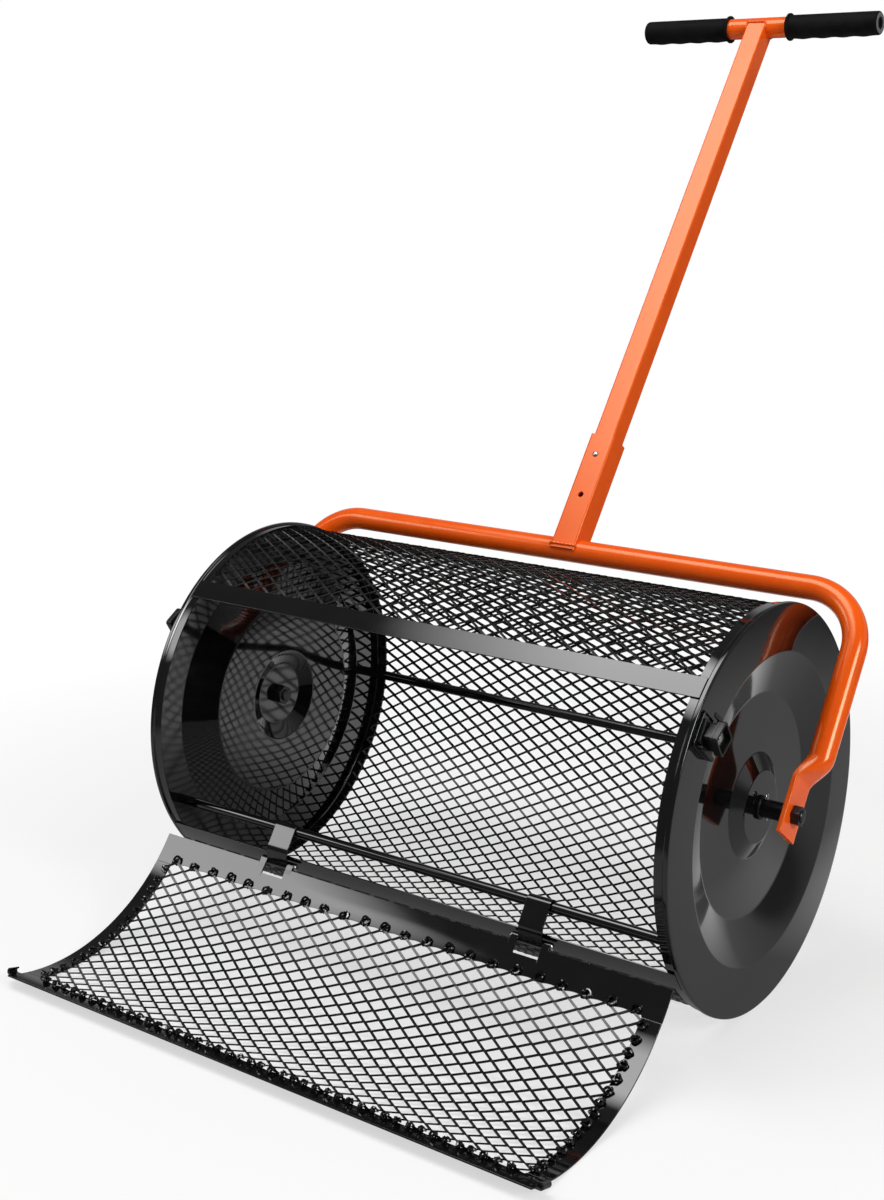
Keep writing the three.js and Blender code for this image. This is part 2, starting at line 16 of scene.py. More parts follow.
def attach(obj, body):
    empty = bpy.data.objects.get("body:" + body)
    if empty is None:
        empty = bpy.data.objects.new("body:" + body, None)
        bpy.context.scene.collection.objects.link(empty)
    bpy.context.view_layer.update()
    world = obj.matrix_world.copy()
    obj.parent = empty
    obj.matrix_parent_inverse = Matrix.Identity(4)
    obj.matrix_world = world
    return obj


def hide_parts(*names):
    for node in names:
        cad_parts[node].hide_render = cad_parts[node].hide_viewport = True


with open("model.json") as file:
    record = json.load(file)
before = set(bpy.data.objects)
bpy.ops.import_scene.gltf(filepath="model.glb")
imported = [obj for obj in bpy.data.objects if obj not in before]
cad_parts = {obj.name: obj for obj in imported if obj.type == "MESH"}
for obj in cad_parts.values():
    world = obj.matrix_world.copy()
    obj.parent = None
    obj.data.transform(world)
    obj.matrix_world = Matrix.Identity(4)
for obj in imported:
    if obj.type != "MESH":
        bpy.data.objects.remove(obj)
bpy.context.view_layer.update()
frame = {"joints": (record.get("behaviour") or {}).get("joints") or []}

# %% [markdown]
# ## Two ways to say where a point is
# Everything on the drum is easiest to place round its axle, so `at` takes millimetres from the
# axle's centre. The handle leans back by a little more than a third of a right angle, so `upright`
# takes millimetres on a handle that stands straight up, and leans the point back.

# %% Places
MM = 0.001
JOINTS = {joint["name"]: joint for joint in frame["joints"]}
AXLE = Vector(JOINTS["handle_swing"]["pos_m"])
LEAN = math.radians(37.3)
LEAN_SIN, LEAN_COS = math.sin(LEAN), math.cos(LEAN)


def at(x, y, z):
    return AXLE + Vector((x, y, z)) * MM


def around(x, degrees, radius, centre=(0.0, 0.0)):
    angle = math.radians(degrees)
    return at(x, centre[0] + radius * math.cos(angle), centre[1] + radius * math.sin(angle))


def upright(x, back, up):
    return at(x, back * LEAN_COS + up * LEAN_SIN, up * LEAN_COS - back * LEAN_SIN)


def spread(start, end, steps):
    return [start + (end - start) * i / steps for i in range(steps + 1)]


print("axle at", [round(v, 4) for v in AXLE])

# %% [markdown]
# ## The camera comes first
# The photograph was taken from the right and a little above, with a long lens. These values come
# from fitting the round rims, the door's edges and the handle to it. The focal length came out in
# pixels of a picture 1200 pixels high, so it is turned into the sensor's millimetres. A vertical
# shift lets the camera look nearly level while the frame reaches far below the horizon.

# %% Camera
SENSOR = 36
FOCAL_PIXELS, PHOTO_HEIGHT = 1744.08, 1200
YAW, PITCH, ROLL = 0.62603, -0.17203, -0.003
CAMERA_SPOT = (964.74, -1428.43, 608.6)

camera_data = bpy.data.cameras.new("photo_camera")
camera_data.sensor_fit = "VERTICAL"
camera_data.sensor_height = SENSOR
camera_data.lens = FOCAL_PIXELS / PHOTO_HEIGHT * SENSOR
camera_data.shift_y = -0.125
camera_data.clip_end = 60
camera = bpy.data.objects.new("photo_camera", camera_data)
bpy.context.scene.collection.objects.link(camera)
bpy.context.scene.camera = camera

back = Vector((math.sin(YAW) * math.cos(PITCH), -math.cos(YAW) * math.cos(PITCH), -math.sin(PITCH)))
level = Vector((math.cos(YAW), math.sin(YAW), 0))
upward = back.cross(level)
right = math.cos(ROLL) * level + math.sin(ROLL) * upward
above = math.cos(ROLL) * upward - math.sin(ROLL) * level
turn = Matrix((right, above, back)).transposed().to_4x4()
camera.matrix_world = Matrix.Translation(at(*CAMERA_SPOT)) @ turn
print("lens", round(camera_data.lens, 2))

# %% [markdown]
# ## Writing shader maths as sums
# A finish is a small sum of masks. `Wire` wraps a shader socket, so that `1 - mask * 0.5` adds the
# Math nodes by itself. `Finish` makes the material, and its `node` adds any other node. Textures
# read the object's own coordinates in metres, so that a size in millimetres means the same on
# every piece.

# %% Shader helpers
class Wire:
    """A shader socket that can be added to, multiplied and so on."""

    def __init__(self, finish, socket):
        self.finish = finish
        self.socket = socket

    def math(self, operation, first, second):
        return self.finish.node("ShaderNodeMath", {"operation": operation}, {0: first, 1: second})

    def __add__(self, other):
        return self.math("ADD", self, other)

    def __sub__(self, other):
        return self.math("SUBTRACT", self, other)

    def __rsub__(self, other):
        return self.math("SUBTRACT", other, self)

    def __mul__(self, other):
        return self.math("MULTIPLY", self, other)

    __radd__ = __add__
    __rmul__ = __mul__


class Finish:
    """One material, with the record's slot that it belongs to."""

    def __init__(self, name, slot=None, **constants):
        self.material = bpy.data.materials.new(name)
        self.material.use_nodes = True
        self.slot = slot
        self.tree = self.material.node_tree
        self.shader = self.tree.nodes["Principled BSDF"]
        for socket, value in constants.items():
            self.shader.inputs[socket.replace("_", " ")].default_value = value
        self.place = self.node("ShaderNodeTexCoord", {}, {}, "Object")

    def node(self, kind, settings, inputs, output=0):
        """Any node, from its settings and then the values or wires of its sockets."""
        node = self.tree.nodes.new(kind)
        for name, value in settings.items():
            setattr(node, name, value)
        for name, value in inputs.items():
            self.feed(node.inputs[name], value)
        return Wire(self, node.outputs[output])

    def feed(self, socket, value):
        if isinstance(value, Wire):
            self.tree.links.new(value.socket, socket)
        else:
            socket.default_value = value

    def set(self, name, value):
        self.feed(self.shader.inputs[name], value)

    def coordinate(self, axis):
        return self.node("ShaderNodeSeparateXYZ", {}, {0: self.place}, axis)

    def noise(self, size_mm, detail=3.0):
        return self.node("ShaderNodeTexNoise", {}, {
            "Vector": self.place, "Scale": 1 / (size_mm * MM), "Detail": detail, "Roughness": 0.55})

    def between(self, mask, low, high):
        """0 below low, 1 above high and a straight ramp in between."""
        return self.node("ShaderNodeMapRange", {}, {
            "Value": mask, "From Min": low, "From Max": high, "To Min": 0.0, "To Max": 1.0})

    def mix(self, factor, one, other):
        return self.node("ShaderNodeMix", {"data_type": "RGBA"}, {0: factor, 6: one, 7: other}, 2)

    def paint(self, factor, one, other):
        """The base colour, between two colours."""
        self.set("Base Color", self.mix(factor, (*one, 1.0), (*other, 1.0)))

    def bump(self, height, strength, distance_mm):
        self.set("Normal", self.node("ShaderNodeBump", {}, {
            "Height": height, "Strength": strength, "Distance": distance_mm * MM}))


print("a finish can:", [name for name in vars(Finish) if not name.startswith("_")])

# %% [markdown]
# ## Orange powder coat
# Powder coat is sprayed as dust and baked, so it flows into a thick skin with a faint orange-peel
# ripple. Its gloss varies a little from place to place. The ripple is a bump with a size of about
# 3 mm, and a slow noise moves the colour and the roughness together.

# %% Orange paint
orange = Finish("orange_powder_coat", "orange_paint", IOR=1.6, Specular_Tint=(1.0, 0.84, 0.54, 1.0))
cloud = orange.between(orange.noise(55), 0.3, 0.7)
orange.paint(cloud, (0.84, 0.092, 0.003), (0.90, 0.112, 0.005))
orange.set("Roughness", 0.14 + cloud * 0.06)
orange.bump(orange.noise(3.0, 1.0), 0.08, 0.08)
print("made", orange.material.name)

# %% [markdown]
# ## Black enamel
# The caps, straps and strips are dipped or sprayed in a glossy black. It is nearly mirror-like, so
# what shows is the room: soft pale gradients over a very dark base. A slow ripple bends those
# reflections a little, as on real pressed sheet, and fine dust roughens them in patches. The mesh
# has a thinner coat with less gloss.

# %% Black paint
enamel = Finish("gloss_black_enamel", "gloss_black", IOR=1.7)
haze = enamel.between(enamel.noise(70, 4.0), 0.35, 0.75)
grain = enamel.between(enamel.noise(1.1, 2.0), 0.3, 0.8)
enamel.paint(haze, (0.0022, 0.0023, 0.0027), (0.0045, 0.0047, 0.0052))
enamel.set("Roughness", 0.035 + haze * 0.045 + grain * 0.015)
enamel.bump(enamel.noise(26, 1.0) + enamel.noise(2.5, 2.0) * 0.02, 0.02, 0.4)

mesh_paint = Finish("black_mesh_coat", "mesh_black", IOR=1.5)
speckle = mesh_paint.between(mesh_paint.noise(9), 0.35, 0.7)
mesh_paint.paint(speckle, (0.006, 0.006, 0.0065), (0.012, 0.012, 0.013))
mesh_paint.set("Roughness", 0.18 + speckle * 0.14)
mesh_paint.bump(mesh_paint.noise(1.2, 2.0), 0.15, 0.1)
print("made", enamel.material.name, "and", mesh_paint.material.name)

# %% [markdown]
# ## Fasteners and rubber
# The axle, nuts and latch are blackened steel, duller than the enamel. The small pins are zinc
# plated, so they flash. The grips are moulded rubber: no gloss, with a fine pebbled skin. Their
# ends are cut, and a cut face is open and painted paler: partly the cut rubber's own colour,
# partly a painted highlight.

# %% Small finishes
blackened = Finish("blackened_steel", "black_fastener", IOR=1.45)
smudge = blackened.between(blackened.noise(7, 4.0), 0.3, 0.75)
blackened.paint(smudge, (0.003, 0.003, 0.0033), (0.009, 0.009, 0.0095))
blackened.set("Roughness", 0.26 + smudge * 0.16)
blackened.bump(blackened.noise(0.8, 2.0), 0.2, 0.08)

zinc = Finish("bright_zinc", "zinc_plated", Metallic=1.0)
scuff = zinc.between(zinc.noise(3.5), 0.35, 0.7)
zinc.paint(scuff, (0.56, 0.57, 0.59), (0.70, 0.70, 0.69))
zinc.set("Roughness", 0.20 + scuff * 0.14)

rubber = Finish("grip_rubber", "rubber_grip", IOR=1.13)
worn = rubber.between(rubber.noise(30), 0.35, 0.7)
rubber.paint(worn, (0.005, 0.005, 0.0055), (0.009, 0.009, 0.010))
rubber.set("Roughness", 0.56 + worn * 0.14)
rubber.bump(rubber.noise(0.7, 2.0), 0.3, 0.15)

# The cut ends are painted pale grey: partly the cut rubber's own colour, partly a painted highlight.
cut_rubber_painted_highlight = Finish("cut_rubber_painted_highlight", "rubber_grip", IOR=1.13)
pores = cut_rubber_painted_highlight.between(cut_rubber_painted_highlight.noise(0.6, 2.0), 0.35, 0.65)
cut_rubber_painted_highlight.paint(pores, (0.12, 0.12, 0.125), (0.20, 0.20, 0.205))
cut_rubber_painted_highlight.set("Roughness", 0.8 + pores * 0.1)
cut_rubber_painted_highlight.bump(pores, 0.4, 0.15)
print("made", [finish.material.name for finish in (blackened, zinc, rubber, cut_rubber_painted_highlight)])

# %% [markdown]
# ## From points to a piece
# Each piece below is worked out as points and faces. `piece` turns them into an object, rounds its
# hard edges with a bevel, sets it riding on its body and hides the plain solid that it stands for.
# Nearly every piece is a row of rings, and `ring_faces` joins each to the next.

# %% Piece maker
SHARP_DEGREES = 32


def piece(name, points, faces, body, finish, stands_for=(), bevel=0.0, angle=SHARP_DEGREES):
    mesh = bpy.data.meshes.new(name)
    mesh.from_pydata([tuple(p) for p in points], [], faces)
    shape = bmesh.new()
    shape.from_mesh(mesh)
    bmesh.ops.remove_doubles(shape, verts=shape.verts, dist=1e-6)
    bmesh.ops.recalc_face_normals(shape, faces=shape.faces)
    shape.to_mesh(mesh)
    shape.free()
    mesh.materials.append(finish.material)
    mesh.shade_smooth()
    mesh.set_sharp_from_angle(angle=math.radians(angle))
    obj = bpy.data.objects.new(name, mesh)
    bpy.context.scene.collection.objects.link(obj)
    if bevel:
        edge = obj.modifiers.new("edges", "BEVEL")
        edge.width = bevel * MM
        edge.segments = 2
        edge.limit_method = "ANGLE"
        edge.angle_limit = math.radians(40)
        edge.harden_normals = True
    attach(obj, body)
    if stands_for:
        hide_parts(*stands_for)
    return obj


def ring_faces(rings, count, closed=False):
    """Faces along a row of rings. A closed row joins its two ends, an open one gets two lids."""
    faces = []
    for i in range(rings if closed else rings - 1):
        here, there = i * count, (i + 1) % rings * count
        for j in range(count):
            after = (j + 1) % count
            faces.append((here + j, here + after, there + after, there + j))
    if not closed:
        faces += [list(range(count)), list(range((rings - 1) * count, rings * count))]
    return faces


print("a box has", len(ring_faces(2, 4)), "faces")

# %% [markdown]
# ## Turned parts
# A pressed cap, a collar, a pin and the handlebar are all turned: one outline swung about a line.
# Real sheet never has a sharp fold, so `rounded` first swaps each corner for an arc. A corner is
# given as its radius from the line, its place along it and the fold's radius.

# %% Turning helpers
FOLD_STEPS = 5


def rounded(corners):
    path = []
    count = len(corners)
    for i, (r, x, fold) in enumerate(corners):
        here = Vector((r, x))
        to_last = Vector(corners[i - 1][:2]) - here
        to_next = Vector(corners[(i + 1) % count][:2]) - here
        if fold <= 0:
            path.append(here)
            continue
        half = to_last.angle(to_next) / 2
        reach = min(fold / math.tan(half), to_last.length * 0.49, to_next.length * 0.49)
        start = here + to_last.normalized() * reach
        end = here + to_next.normalized() * reach
        for t in spread(0, 1, FOLD_STEPS):
            path.append(start * (1 - t) ** 2 + here * 2 * t * (1 - t) + end * t * t)
    return path


def turned(name, corners, body, finish, segments, side=1, place=at, **more):
    """An outline swung about X. A side of -1 mirrors it, and place says where its points go."""
    path = rounded(corners)
    points = []
    for i in range(segments):
        a = 2 * math.pi * i / segments
        for r, x in path:
            points.append(place(side * x, r * math.cos(a), r * math.sin(a)))
    return piece(name, points, ring_faces(segments, len(path), closed=True), body, finish, **more)


SIDES = {"left": -1, "right": 1}
print("a fold has", FOLD_STEPS + 1, "points")

# %% [markdown]
# ## End caps
# Each cap is one pressing: a rolled rim, a short skirt that holds the mesh, a flat ring, a soft
# step down to the disc and a hub pushed out in the middle. The solid it stands for has 36 flats
# round it. This one has 192, and every fold is round, because the enamel mirrors each of them.

# %% End caps
RIM_R = 194.4
CAP_FACE, DISC_FACE, HUB_FACE = 305.0, 290.0, 298.0
HUB_BORE = 6.5
SHEET = 1.5
SKIRT_R = RIM_R - 2

CAP_OUTLINE = [
    (HUB_BORE, HUB_FACE - SHEET, 0), (33.5, HUB_FACE - SHEET, 2), (50, DISC_FACE - SHEET, 4.5),
    (107.5, DISC_FACE - SHEET, 9), (149, CAP_FACE - SHEET, 4), (SKIRT_R - SHEET, CAP_FACE - SHEET, 2),
    (SKIRT_R - SHEET, 291, 0), (SKIRT_R, 291, 0), (SKIRT_R, 299.6, 0.8), (RIM_R, 300.6, 0.9),
    (RIM_R, CAP_FACE, 1.6), (SKIRT_R - 2.5, CAP_FACE, 1.5), (148, CAP_FACE, 5.5), (107, DISC_FACE, 7.5),
    (50.5, DISC_FACE, 3), (34.5, HUB_FACE, 3.5), (HUB_BORE, HUB_FACE, 0),
]
for side, sign in SIDES.items():
    turned(f"{side}_pressed_cap", CAP_OUTLINE, "drum", enamel, 192, sign,
           stands_for=[f"{side}_end_cap"])
print("caps", 2 * RIM_R, "mm across")

# %% [markdown]
# ## Diamond mesh
# Expanded metal is cut and pulled from one sheet: flat strands that meet in short knots, each strand
# twisted a little out of the sheet. Here every knot is a small rhombus whose four corners are the
# corners of the holes round it. Its low corner sits deeper than its high one, which gives each
# strand the twist. The same function makes the drum's mesh and the door's.

# %% Mesh maker
STRAND, STRAND_SHEET = 2.45, 1.3
TWIST = 0.85
DRUM_MESH_R, DRUM_MESH_HALF = 189.7, 298
DRUM_MESH_ARC = (-145, 130.5)
DRUM_COLUMNS, DRUM_ROWS = 24, 62


def diamonds(name, outer_r, arc, half, columns, rows, body, stands_for, centre=(0.0, 0.0)):
    dx = half / columns
    da = math.radians(arc[1] - arc[0]) / (2 * rows)
    slope = math.atan2(da * outer_r, dx)
    reach_x = STRAND / 2 / math.sin(slope)
    reach_a = STRAND / 2 / math.cos(slope) / outer_r
    low_a, high_a = math.radians(arc[0]), math.radians(arc[1])
    points, faces, knots, rim = [], [], {}, set()

    def corner(x, a, lift):
        x = min(max(x, -half), half)
        a = min(max(a, low_a), high_a)
        for r in (outer_r + lift, outer_r + lift - STRAND_SHEET):
            points.append(at(x, centre[0] + r * math.cos(a), centre[1] + r * math.sin(a)))
        return len(points) // 2 - 1

    def patch(*corners):
        faces.append([2 * c for c in corners])
        faces.append([2 * c + 1 for c in reversed(corners)])
        for p, q in zip(corners, corners[1:] + corners[:1]):
            if (q, p) in rim:
                rim.remove((q, p))
            else:
                rim.add((p, q))

    for j in range(2 * rows + 1):
        for i in range(1 - j % 2, 2 * columns + 1, 2):
            x, a = -half + i * dx, low_a + j * da
            knot = [corner(x - reach_x, a, 0), corner(x, a - reach_a, -TWIST),
                    corner(x + reach_x, a, 0), corner(x, a + reach_a, TWIST)]
            knots[i, j] = knot
            if i in (0, 2 * columns):
                patch(knot[0], knot[1], knot[2])
                patch(knot[0], knot[2], knot[3])
            else:
                patch(knot[1], knot[2], knot[3])
                patch(knot[1], knot[3], knot[0])
            if (i - 1, j - 1) in knots:
                other = knots[i - 1, j - 1]
                patch(other[3], other[2], knot[1], knot[0])
            if (i + 1, j - 1) in knots:
                other = knots[i + 1, j - 1]
                patch(other[0], other[3], knot[2], knot[1])
    for p, q in rim:
        faces.append([2 * q, 2 * p, 2 * p + 1, 2 * q + 1])
    return piece(name, points, faces, body, mesh_paint, stands_for, angle=20)


drum_mesh = diamonds("drum_mesh_sheet", DRUM_MESH_R, DRUM_MESH_ARC, DRUM_MESH_HALF, DRUM_COLUMNS,
                     DRUM_ROWS, "drum", [f"drum_mesh_{i}" for i in range(1, 8)])
print("drum mesh:", len(drum_mesh.data.polygons), "faces")

# %% [markdown]
# ## Sheet strips
# Straps and door strips are long bands of sheet bent to the drum's round. `band` lays one out from
# stations along its length. At each station `across` says where the lines over its width are, so an
# edge can be straight, notched or scalloped while the lines inside stay straight.

# %% Strip maker
STRAP_R, STRAP_HALF = 192.7, 299.7


def band(name, stations, across, point, thickness, body, stands_for):
    points = []
    for s in stations:
        ring = across(s)
        points += [point(s, t, thickness) for t in ring] + [point(s, t, 0) for t in reversed(ring)]
    faces = ring_faces(len(stations), 2 * len(ring))
    return piece(name, points, faces, body, enamel, stands_for, bevel=0.35)


def strap(name, arc, stands_for):
    band(name, spread(-STRAP_HALF, STRAP_HALF, 24), lambda x: spread(*arc, 6),
         lambda x, a, lift: around(x, a, STRAP_R + lift), SHEET, "drum", stands_for)


strap("upper_strap_band", (126.8, 133.2), ["upper_front_strap"])
strap("lower_strap_band", (211.0, 218.4), ["lower_front_strap"])
print("straps", 2 * STRAP_HALF, "mm long")

# %% [markdown]
# ## Rods and pins
# A rod is a round bar. `bar` sweeps a circle along any list of points, so it also makes the cotter
# pins' eyes and the weld beads. The circle is carried from point to point without twisting.

# %% Bar maker
def round_bar(path, radius, sides, closed=False, swell=None):
    count = len(path)
    points = []
    normal = None
    for i, here in enumerate(path):
        before = path[i - 1] if closed or i else path[i]
        after = path[(i + 1) % count] if closed or i < count - 1 else path[i]
        along = (after - before).normalized()
        if normal is None:
            normal = along.orthogonal().normalized()
        normal = (normal - along * normal.dot(along)).normalized()
        side = along.cross(normal)
        r = (radius if swell is None else radius * swell(i / count)) * MM
        for k in range(sides):
            a = 2 * math.pi * k / sides
            points.append(here + (normal * math.cos(a) + side * math.sin(a)) * r)
    return points, ring_faces(count, sides, closed)


def bar(name, path, radius, body, finish, stands_for=(), sides=24, closed=False, swell=None):
    points, faces = round_bar(path, radius, sides, closed, swell)
    return piece(name, points, faces, body, finish, stands_for)


FRONT_ROD, FRONT_ROD_R = (-152.0, -78.3), 5.0
BACK_ROD, BACK_ROD_R = (179.7, -21.7), 5.4
ROD_HALF = 303.2
for name, middle, radius, node in (("front_bar", FRONT_ROD, FRONT_ROD_R, "front_rod"),
                                   ("back_bar", BACK_ROD, BACK_ROD_R, "back_tie_rod")):
    stations = [at(x, *middle) for x in spread(-ROD_HALF, ROD_HALF, 6)]
    bar(name, stations, radius, "drum", enamel, [node])
print("rods", 2 * ROD_HALF, "mm long")

# %% [markdown]
# ## Door hinges
# A strip of sheet is rolled round the front rod, hangs down over the lower strap's edge and is
# rolled again round the hinge pin. `curl` makes such a strip from the line that its middle follows.

# %% Hinges
PIVOT = Vector(JOINTS["door_swing"]["pos_m"]) - AXLE
PIVOT_Y, PIVOT_Z = PIVOT.y / MM, PIVOT.z / MM
CURL_SHEET = 1.8
HINGE_X, KNUCKLE_HALF, KNUCKLE_R = 153, 13, 3.2
LEAF_BEND = [(-166.4, -88.9), (-168.6, -91.2), (-169.8, -93.6), (-170.3, -97)]
RIVET_HALF = KNUCKLE_HALF + 8.6
RIVET_HEAD = [
    (2, RIVET_HALF, 0), (3, RIVET_HALF, 0), (3, RIVET_HALF + 0.8, 0.4),
    (2.2, RIVET_HALF + 1.6, 0.6), (0, RIVET_HALF + 1.6, 0),
]


def arc_line(y, z, radius, start, end, steps):
    return [Vector((y + radius * math.cos(math.radians(a)), z + radius * math.sin(math.radians(a))))
            for a in spread(start, end, steps)]


def curl(name, line, thickness, place, low, high, body, finish, stands_for=()):
    """A bent strip, with four rails along it: its two faces at its two edges."""
    points = []
    for i, here in enumerate(line):
        before = line[max(i - 1, 0)]
        after = line[min(i + 1, len(line) - 1)]
        along = (after - before).normalized()
        off = Vector((-along.y, along.x)) * thickness / 2
        for w, p in ((low, here + off), (high, here + off), (high, here - off), (low, here - off)):
            points.append(place(w, p))
    return piece(name, points, ring_faces(len(line), 4), body, finish, stands_for, bevel=0.3)


def across_drum(x, p):
    return at(x, p.x, p.y)


leaf_line = arc_line(*FRONT_ROD, FRONT_ROD_R + 1.2, -100, 134, 22)
leaf_line += [Vector(bend) for bend in LEAF_BEND]
leaf_line += arc_line(PIVOT_Y, PIVOT_Z, KNUCKLE_R, 180, 440, 22)
rivet = [(r, -x, fold) for r, x, fold in reversed(RIVET_HEAD)] + RIVET_HEAD
for side, sign in SIDES.items():
    middle = sign * HINGE_X
    curl(f"{side}_hinge_leaf", leaf_line, CURL_SHEET, across_drum, middle - KNUCKLE_HALF,
         middle + KNUCKLE_HALF, "drum", enamel, [f"{side}_hinge_strap"])
    turned(f"{side}_hinge_rivet", rivet, "drum", zinc, 24,
           place=lambda x, y, z, m=middle: at(x + m, y + PIVOT_Y, z + PIVOT_Z),
           stands_for=[f"{side}_hinge_pin"])
print("hinge pins", round(2 * RIVET_HALF, 1), "mm between their heads")

# %% [markdown]
# ## Axle
# A black stub is bolted through each hub. It has a collar where it meets the hub, a cotter pin just
# outside the collar, and a nut that keeps the yoke's plate on its outer thread.

# %% Axle stubs
HUB_GAP = 0.3
NECK_R, STUB_R, COLLAR_R = 6.0, 8.75, 11.5
PLATE_X, PLATE_HALF = 329.0, 2.5
STUB_BACK, STUB_FROM, STUB_TO = 285, HUB_FACE + HUB_GAP, PLATE_X - PLATE_HALF - HUB_GAP
NUT_FROM = PLATE_X + PLATE_HALF + HUB_GAP
STUB_END = NUT_FROM + 9.6
COLLAR_TO = STUB_FROM + 3.2
COTTER_X, COTTER_LOW, COTTER_TOP, COTTER_EYE = STUB_FROM + 5.8, -11.5, 9, 2.3


def hexagon_nut(name, across, height, x0, sign, stands_for):
    """A nut whose corners are turned down to a cone on both faces, with a threaded bore."""
    points = []
    sides = 72
    corner_cut = across * 0.045
    bore = NECK_R + 0.4
    rings = [(bore, 0.6, x0), (None, corner_cut, x0), (None, 0, x0 + corner_cut),
             (None, 0, x0 + height - corner_cut), (None, corner_cut, x0 + height),
             (bore, 0.6, x0 + height)]
    for k in range(sides):
        a = 2 * math.pi * k / sides
        flat = across / 2 / math.cos((a + math.pi / 6) % (math.pi / 3) - math.pi / 6)
        for fixed, down, x in rings:
            r = fixed if fixed else min(flat, across / 2 * 1.155 - down)
            points.append(at(sign * x, r * math.cos(a), r * math.sin(a)))
    faces = ring_faces(sides, len(rings), closed=True)
    return piece(name, points, faces, "drum", blackened, stands_for, angle=25)


stub = [(0, STUB_BACK, 0), (5.2, STUB_BACK, 0.3), (NECK_R, STUB_BACK + 0.8, 0.2),
        (NECK_R, STUB_FROM, 0), (STUB_R, STUB_FROM, 0.6), (STUB_R, STUB_TO, 0.8), (NECK_R, STUB_TO, 0),
        (NECK_R, STUB_END - 1, 0.3), (5.0, STUB_END, 0.3), (0, STUB_END, 0)]
collar = [(STUB_R + 0.2, STUB_FROM, 0), (COLLAR_R, STUB_FROM, 0.4), (COLLAR_R, COLLAR_TO, 0.9),
          (STUB_R + 0.2, COLLAR_TO, 0)]
for side, sign in SIDES.items():
    turned(f"{side}_stub_shaft", stub, "drum", blackened, 48, sign, stands_for=[f"{side}_axle_stub"])
    turned(f"{side}_collar_ring", collar, "drum", blackened, 48, sign,
           stands_for=[f"{side}_hub_collar"])
    hexagon_nut(f"{side}_inner_nut", 19, 9, HUB_FACE - SHEET - 9.3, sign, [f"{side}_hub_nut"])
    hexagon_nut(f"{side}_outer_nut", 17, 8, NUT_FROM, sign, [f"{side}_axle_nut"])
    shank = [at(sign * COTTER_X, 0, z) for z in spread(COTTER_LOW, COTTER_TOP, 8)]
    eye = [at(sign * COTTER_X, COTTER_EYE * math.sin(a), COTTER_TOP + COTTER_EYE * (1 - math.cos(a)))
           for a in spread(0, 6.2, 20)]
    bar(f"{side}_split_pin", shank + eye, 1.15, "drum", zinc, [f"{side}_cotter_pin"], sides=12)
print("stubs end", round(STUB_END, 1), "mm from the middle")

# %% [markdown]
# ## Outlines pushed along a line
# The latches and the square tubes are outlines pushed from one place to another. `round_box` is such
# an outline, a square or a rectangle with round corners. `prism` joins its two ends. A hole is one
# more outline with as many points, joined to the first at both ends.

# %% Prism maker
def round_box(half_a, half_b, corner, steps=6, turn_by=0.0, middle=(0.0, 0.0)):
    outline = []
    for k, (sa, sb) in enumerate(((1, 1), (-1, 1), (-1, -1), (1, -1))):
        for t in spread(0, 1, steps):
            a = (k + t) * math.pi / 2
            p = Vector((sa * (half_a - corner) + corner * math.cos(a),
                        sb * (half_b - corner) + corner * math.sin(a)))
            p.rotate(Matrix.Rotation(turn_by, 2))
            outline.append(p + Vector(middle))
    return outline


def circle(radius, count, phase):
    angles = [phase + 2 * math.pi * k / count for k in range(count)]
    return [Vector((radius * math.cos(a), radius * math.sin(a))) for a in angles]


def prism(name, outline, x0, x1, place, body, finish, stands_for=(), bevel=0.4, hole=None):
    rings = [(x0, outline), (x1, outline)]
    if hole:
        rings += [(x1, hole), (x0, hole)]
    points = [place(x, *p) for x, ring in rings for p in ring]
    faces = ring_faces(len(rings), len(outline), closed=hole is not None)
    return piece(name, points, faces, body, finish, stands_for, bevel=bevel)


print("a round box has", len(round_box(10, 10, 2)), "points")

# %% [markdown]
# ## Latches
# A latch is a plate on the cap with a stud, and a knob that turns on the stud. The knob has a round
# barrel, a hooked finger that turns over the door's ear, and a square cup for the fingers. It is
# drawn with the radius as one axis and the rim's tangent as the other, and turned into place. The
# table says where each layer starts and ends along the axle.

# %% Latches
LATCH_R, LATCH_POLAR = 171.0, math.radians(140.5)
LAYERS = {
    "plate": (305.3, 307.1), "lip": (306.9, 312.5), "seat": (306.9, 309.4), "finger": (309.8, 312.3),
    "block": (309.9, 317.8), "floor": (317.6, 319.4), "cup": (319.2, 324.6),
}
STUD_FROM, STUD_TO = 306.8, 321
KNOB_TURN = math.radians(32) - LATCH_POLAR
KNOB_HALF, KNOB_BORE = 11.6, 3.5

STUD = [(0, STUD_FROM, 0), (3.2, STUD_FROM, 0), (3.2, STUD_TO, 0.5), (0, STUD_TO, 0)]
RIVET = [(0, STUD_FROM, 0), (2.7, STUD_FROM, 0), (2.5, 308, 0.5), (0, 308.5, 0)]
PUSH_RING = [(3.4, 319.7, 0), (6, 319.7, 0.2), (6, 320.5, 0.3), (3.4, 320.5, 0)]
BARREL = [(KNOB_BORE, 307.4, 0), (9, 307.4, 0.7), (9, 310.2, 0), (KNOB_BORE, 310.2, 0)]
FINGER = [(-4.4, -2), (-4.4, -17), (5, -17), (5, -21), (-9.5, -21), (-9.5, -4), (-6, 2)]
BORE = circle(KNOB_BORE, 28, KNOB_TURN + 0.11)
CUP = round_box(KNOB_HALF, KNOB_HALF, 3, turn_by=KNOB_TURN)
CUP_INSIDE = round_box(KNOB_HALF - 2.1, KNOB_HALF - 2.1, 2.2, turn_by=KNOB_TURN)


def at_latch(sign):
    def place(x, radial, tangent):
        r = LATCH_R + radial
        return at(sign * x, r * math.cos(LATCH_POLAR) - tangent * math.sin(LATCH_POLAR),
                  r * math.sin(LATCH_POLAR) + tangent * math.cos(LATCH_POLAR))
    return place


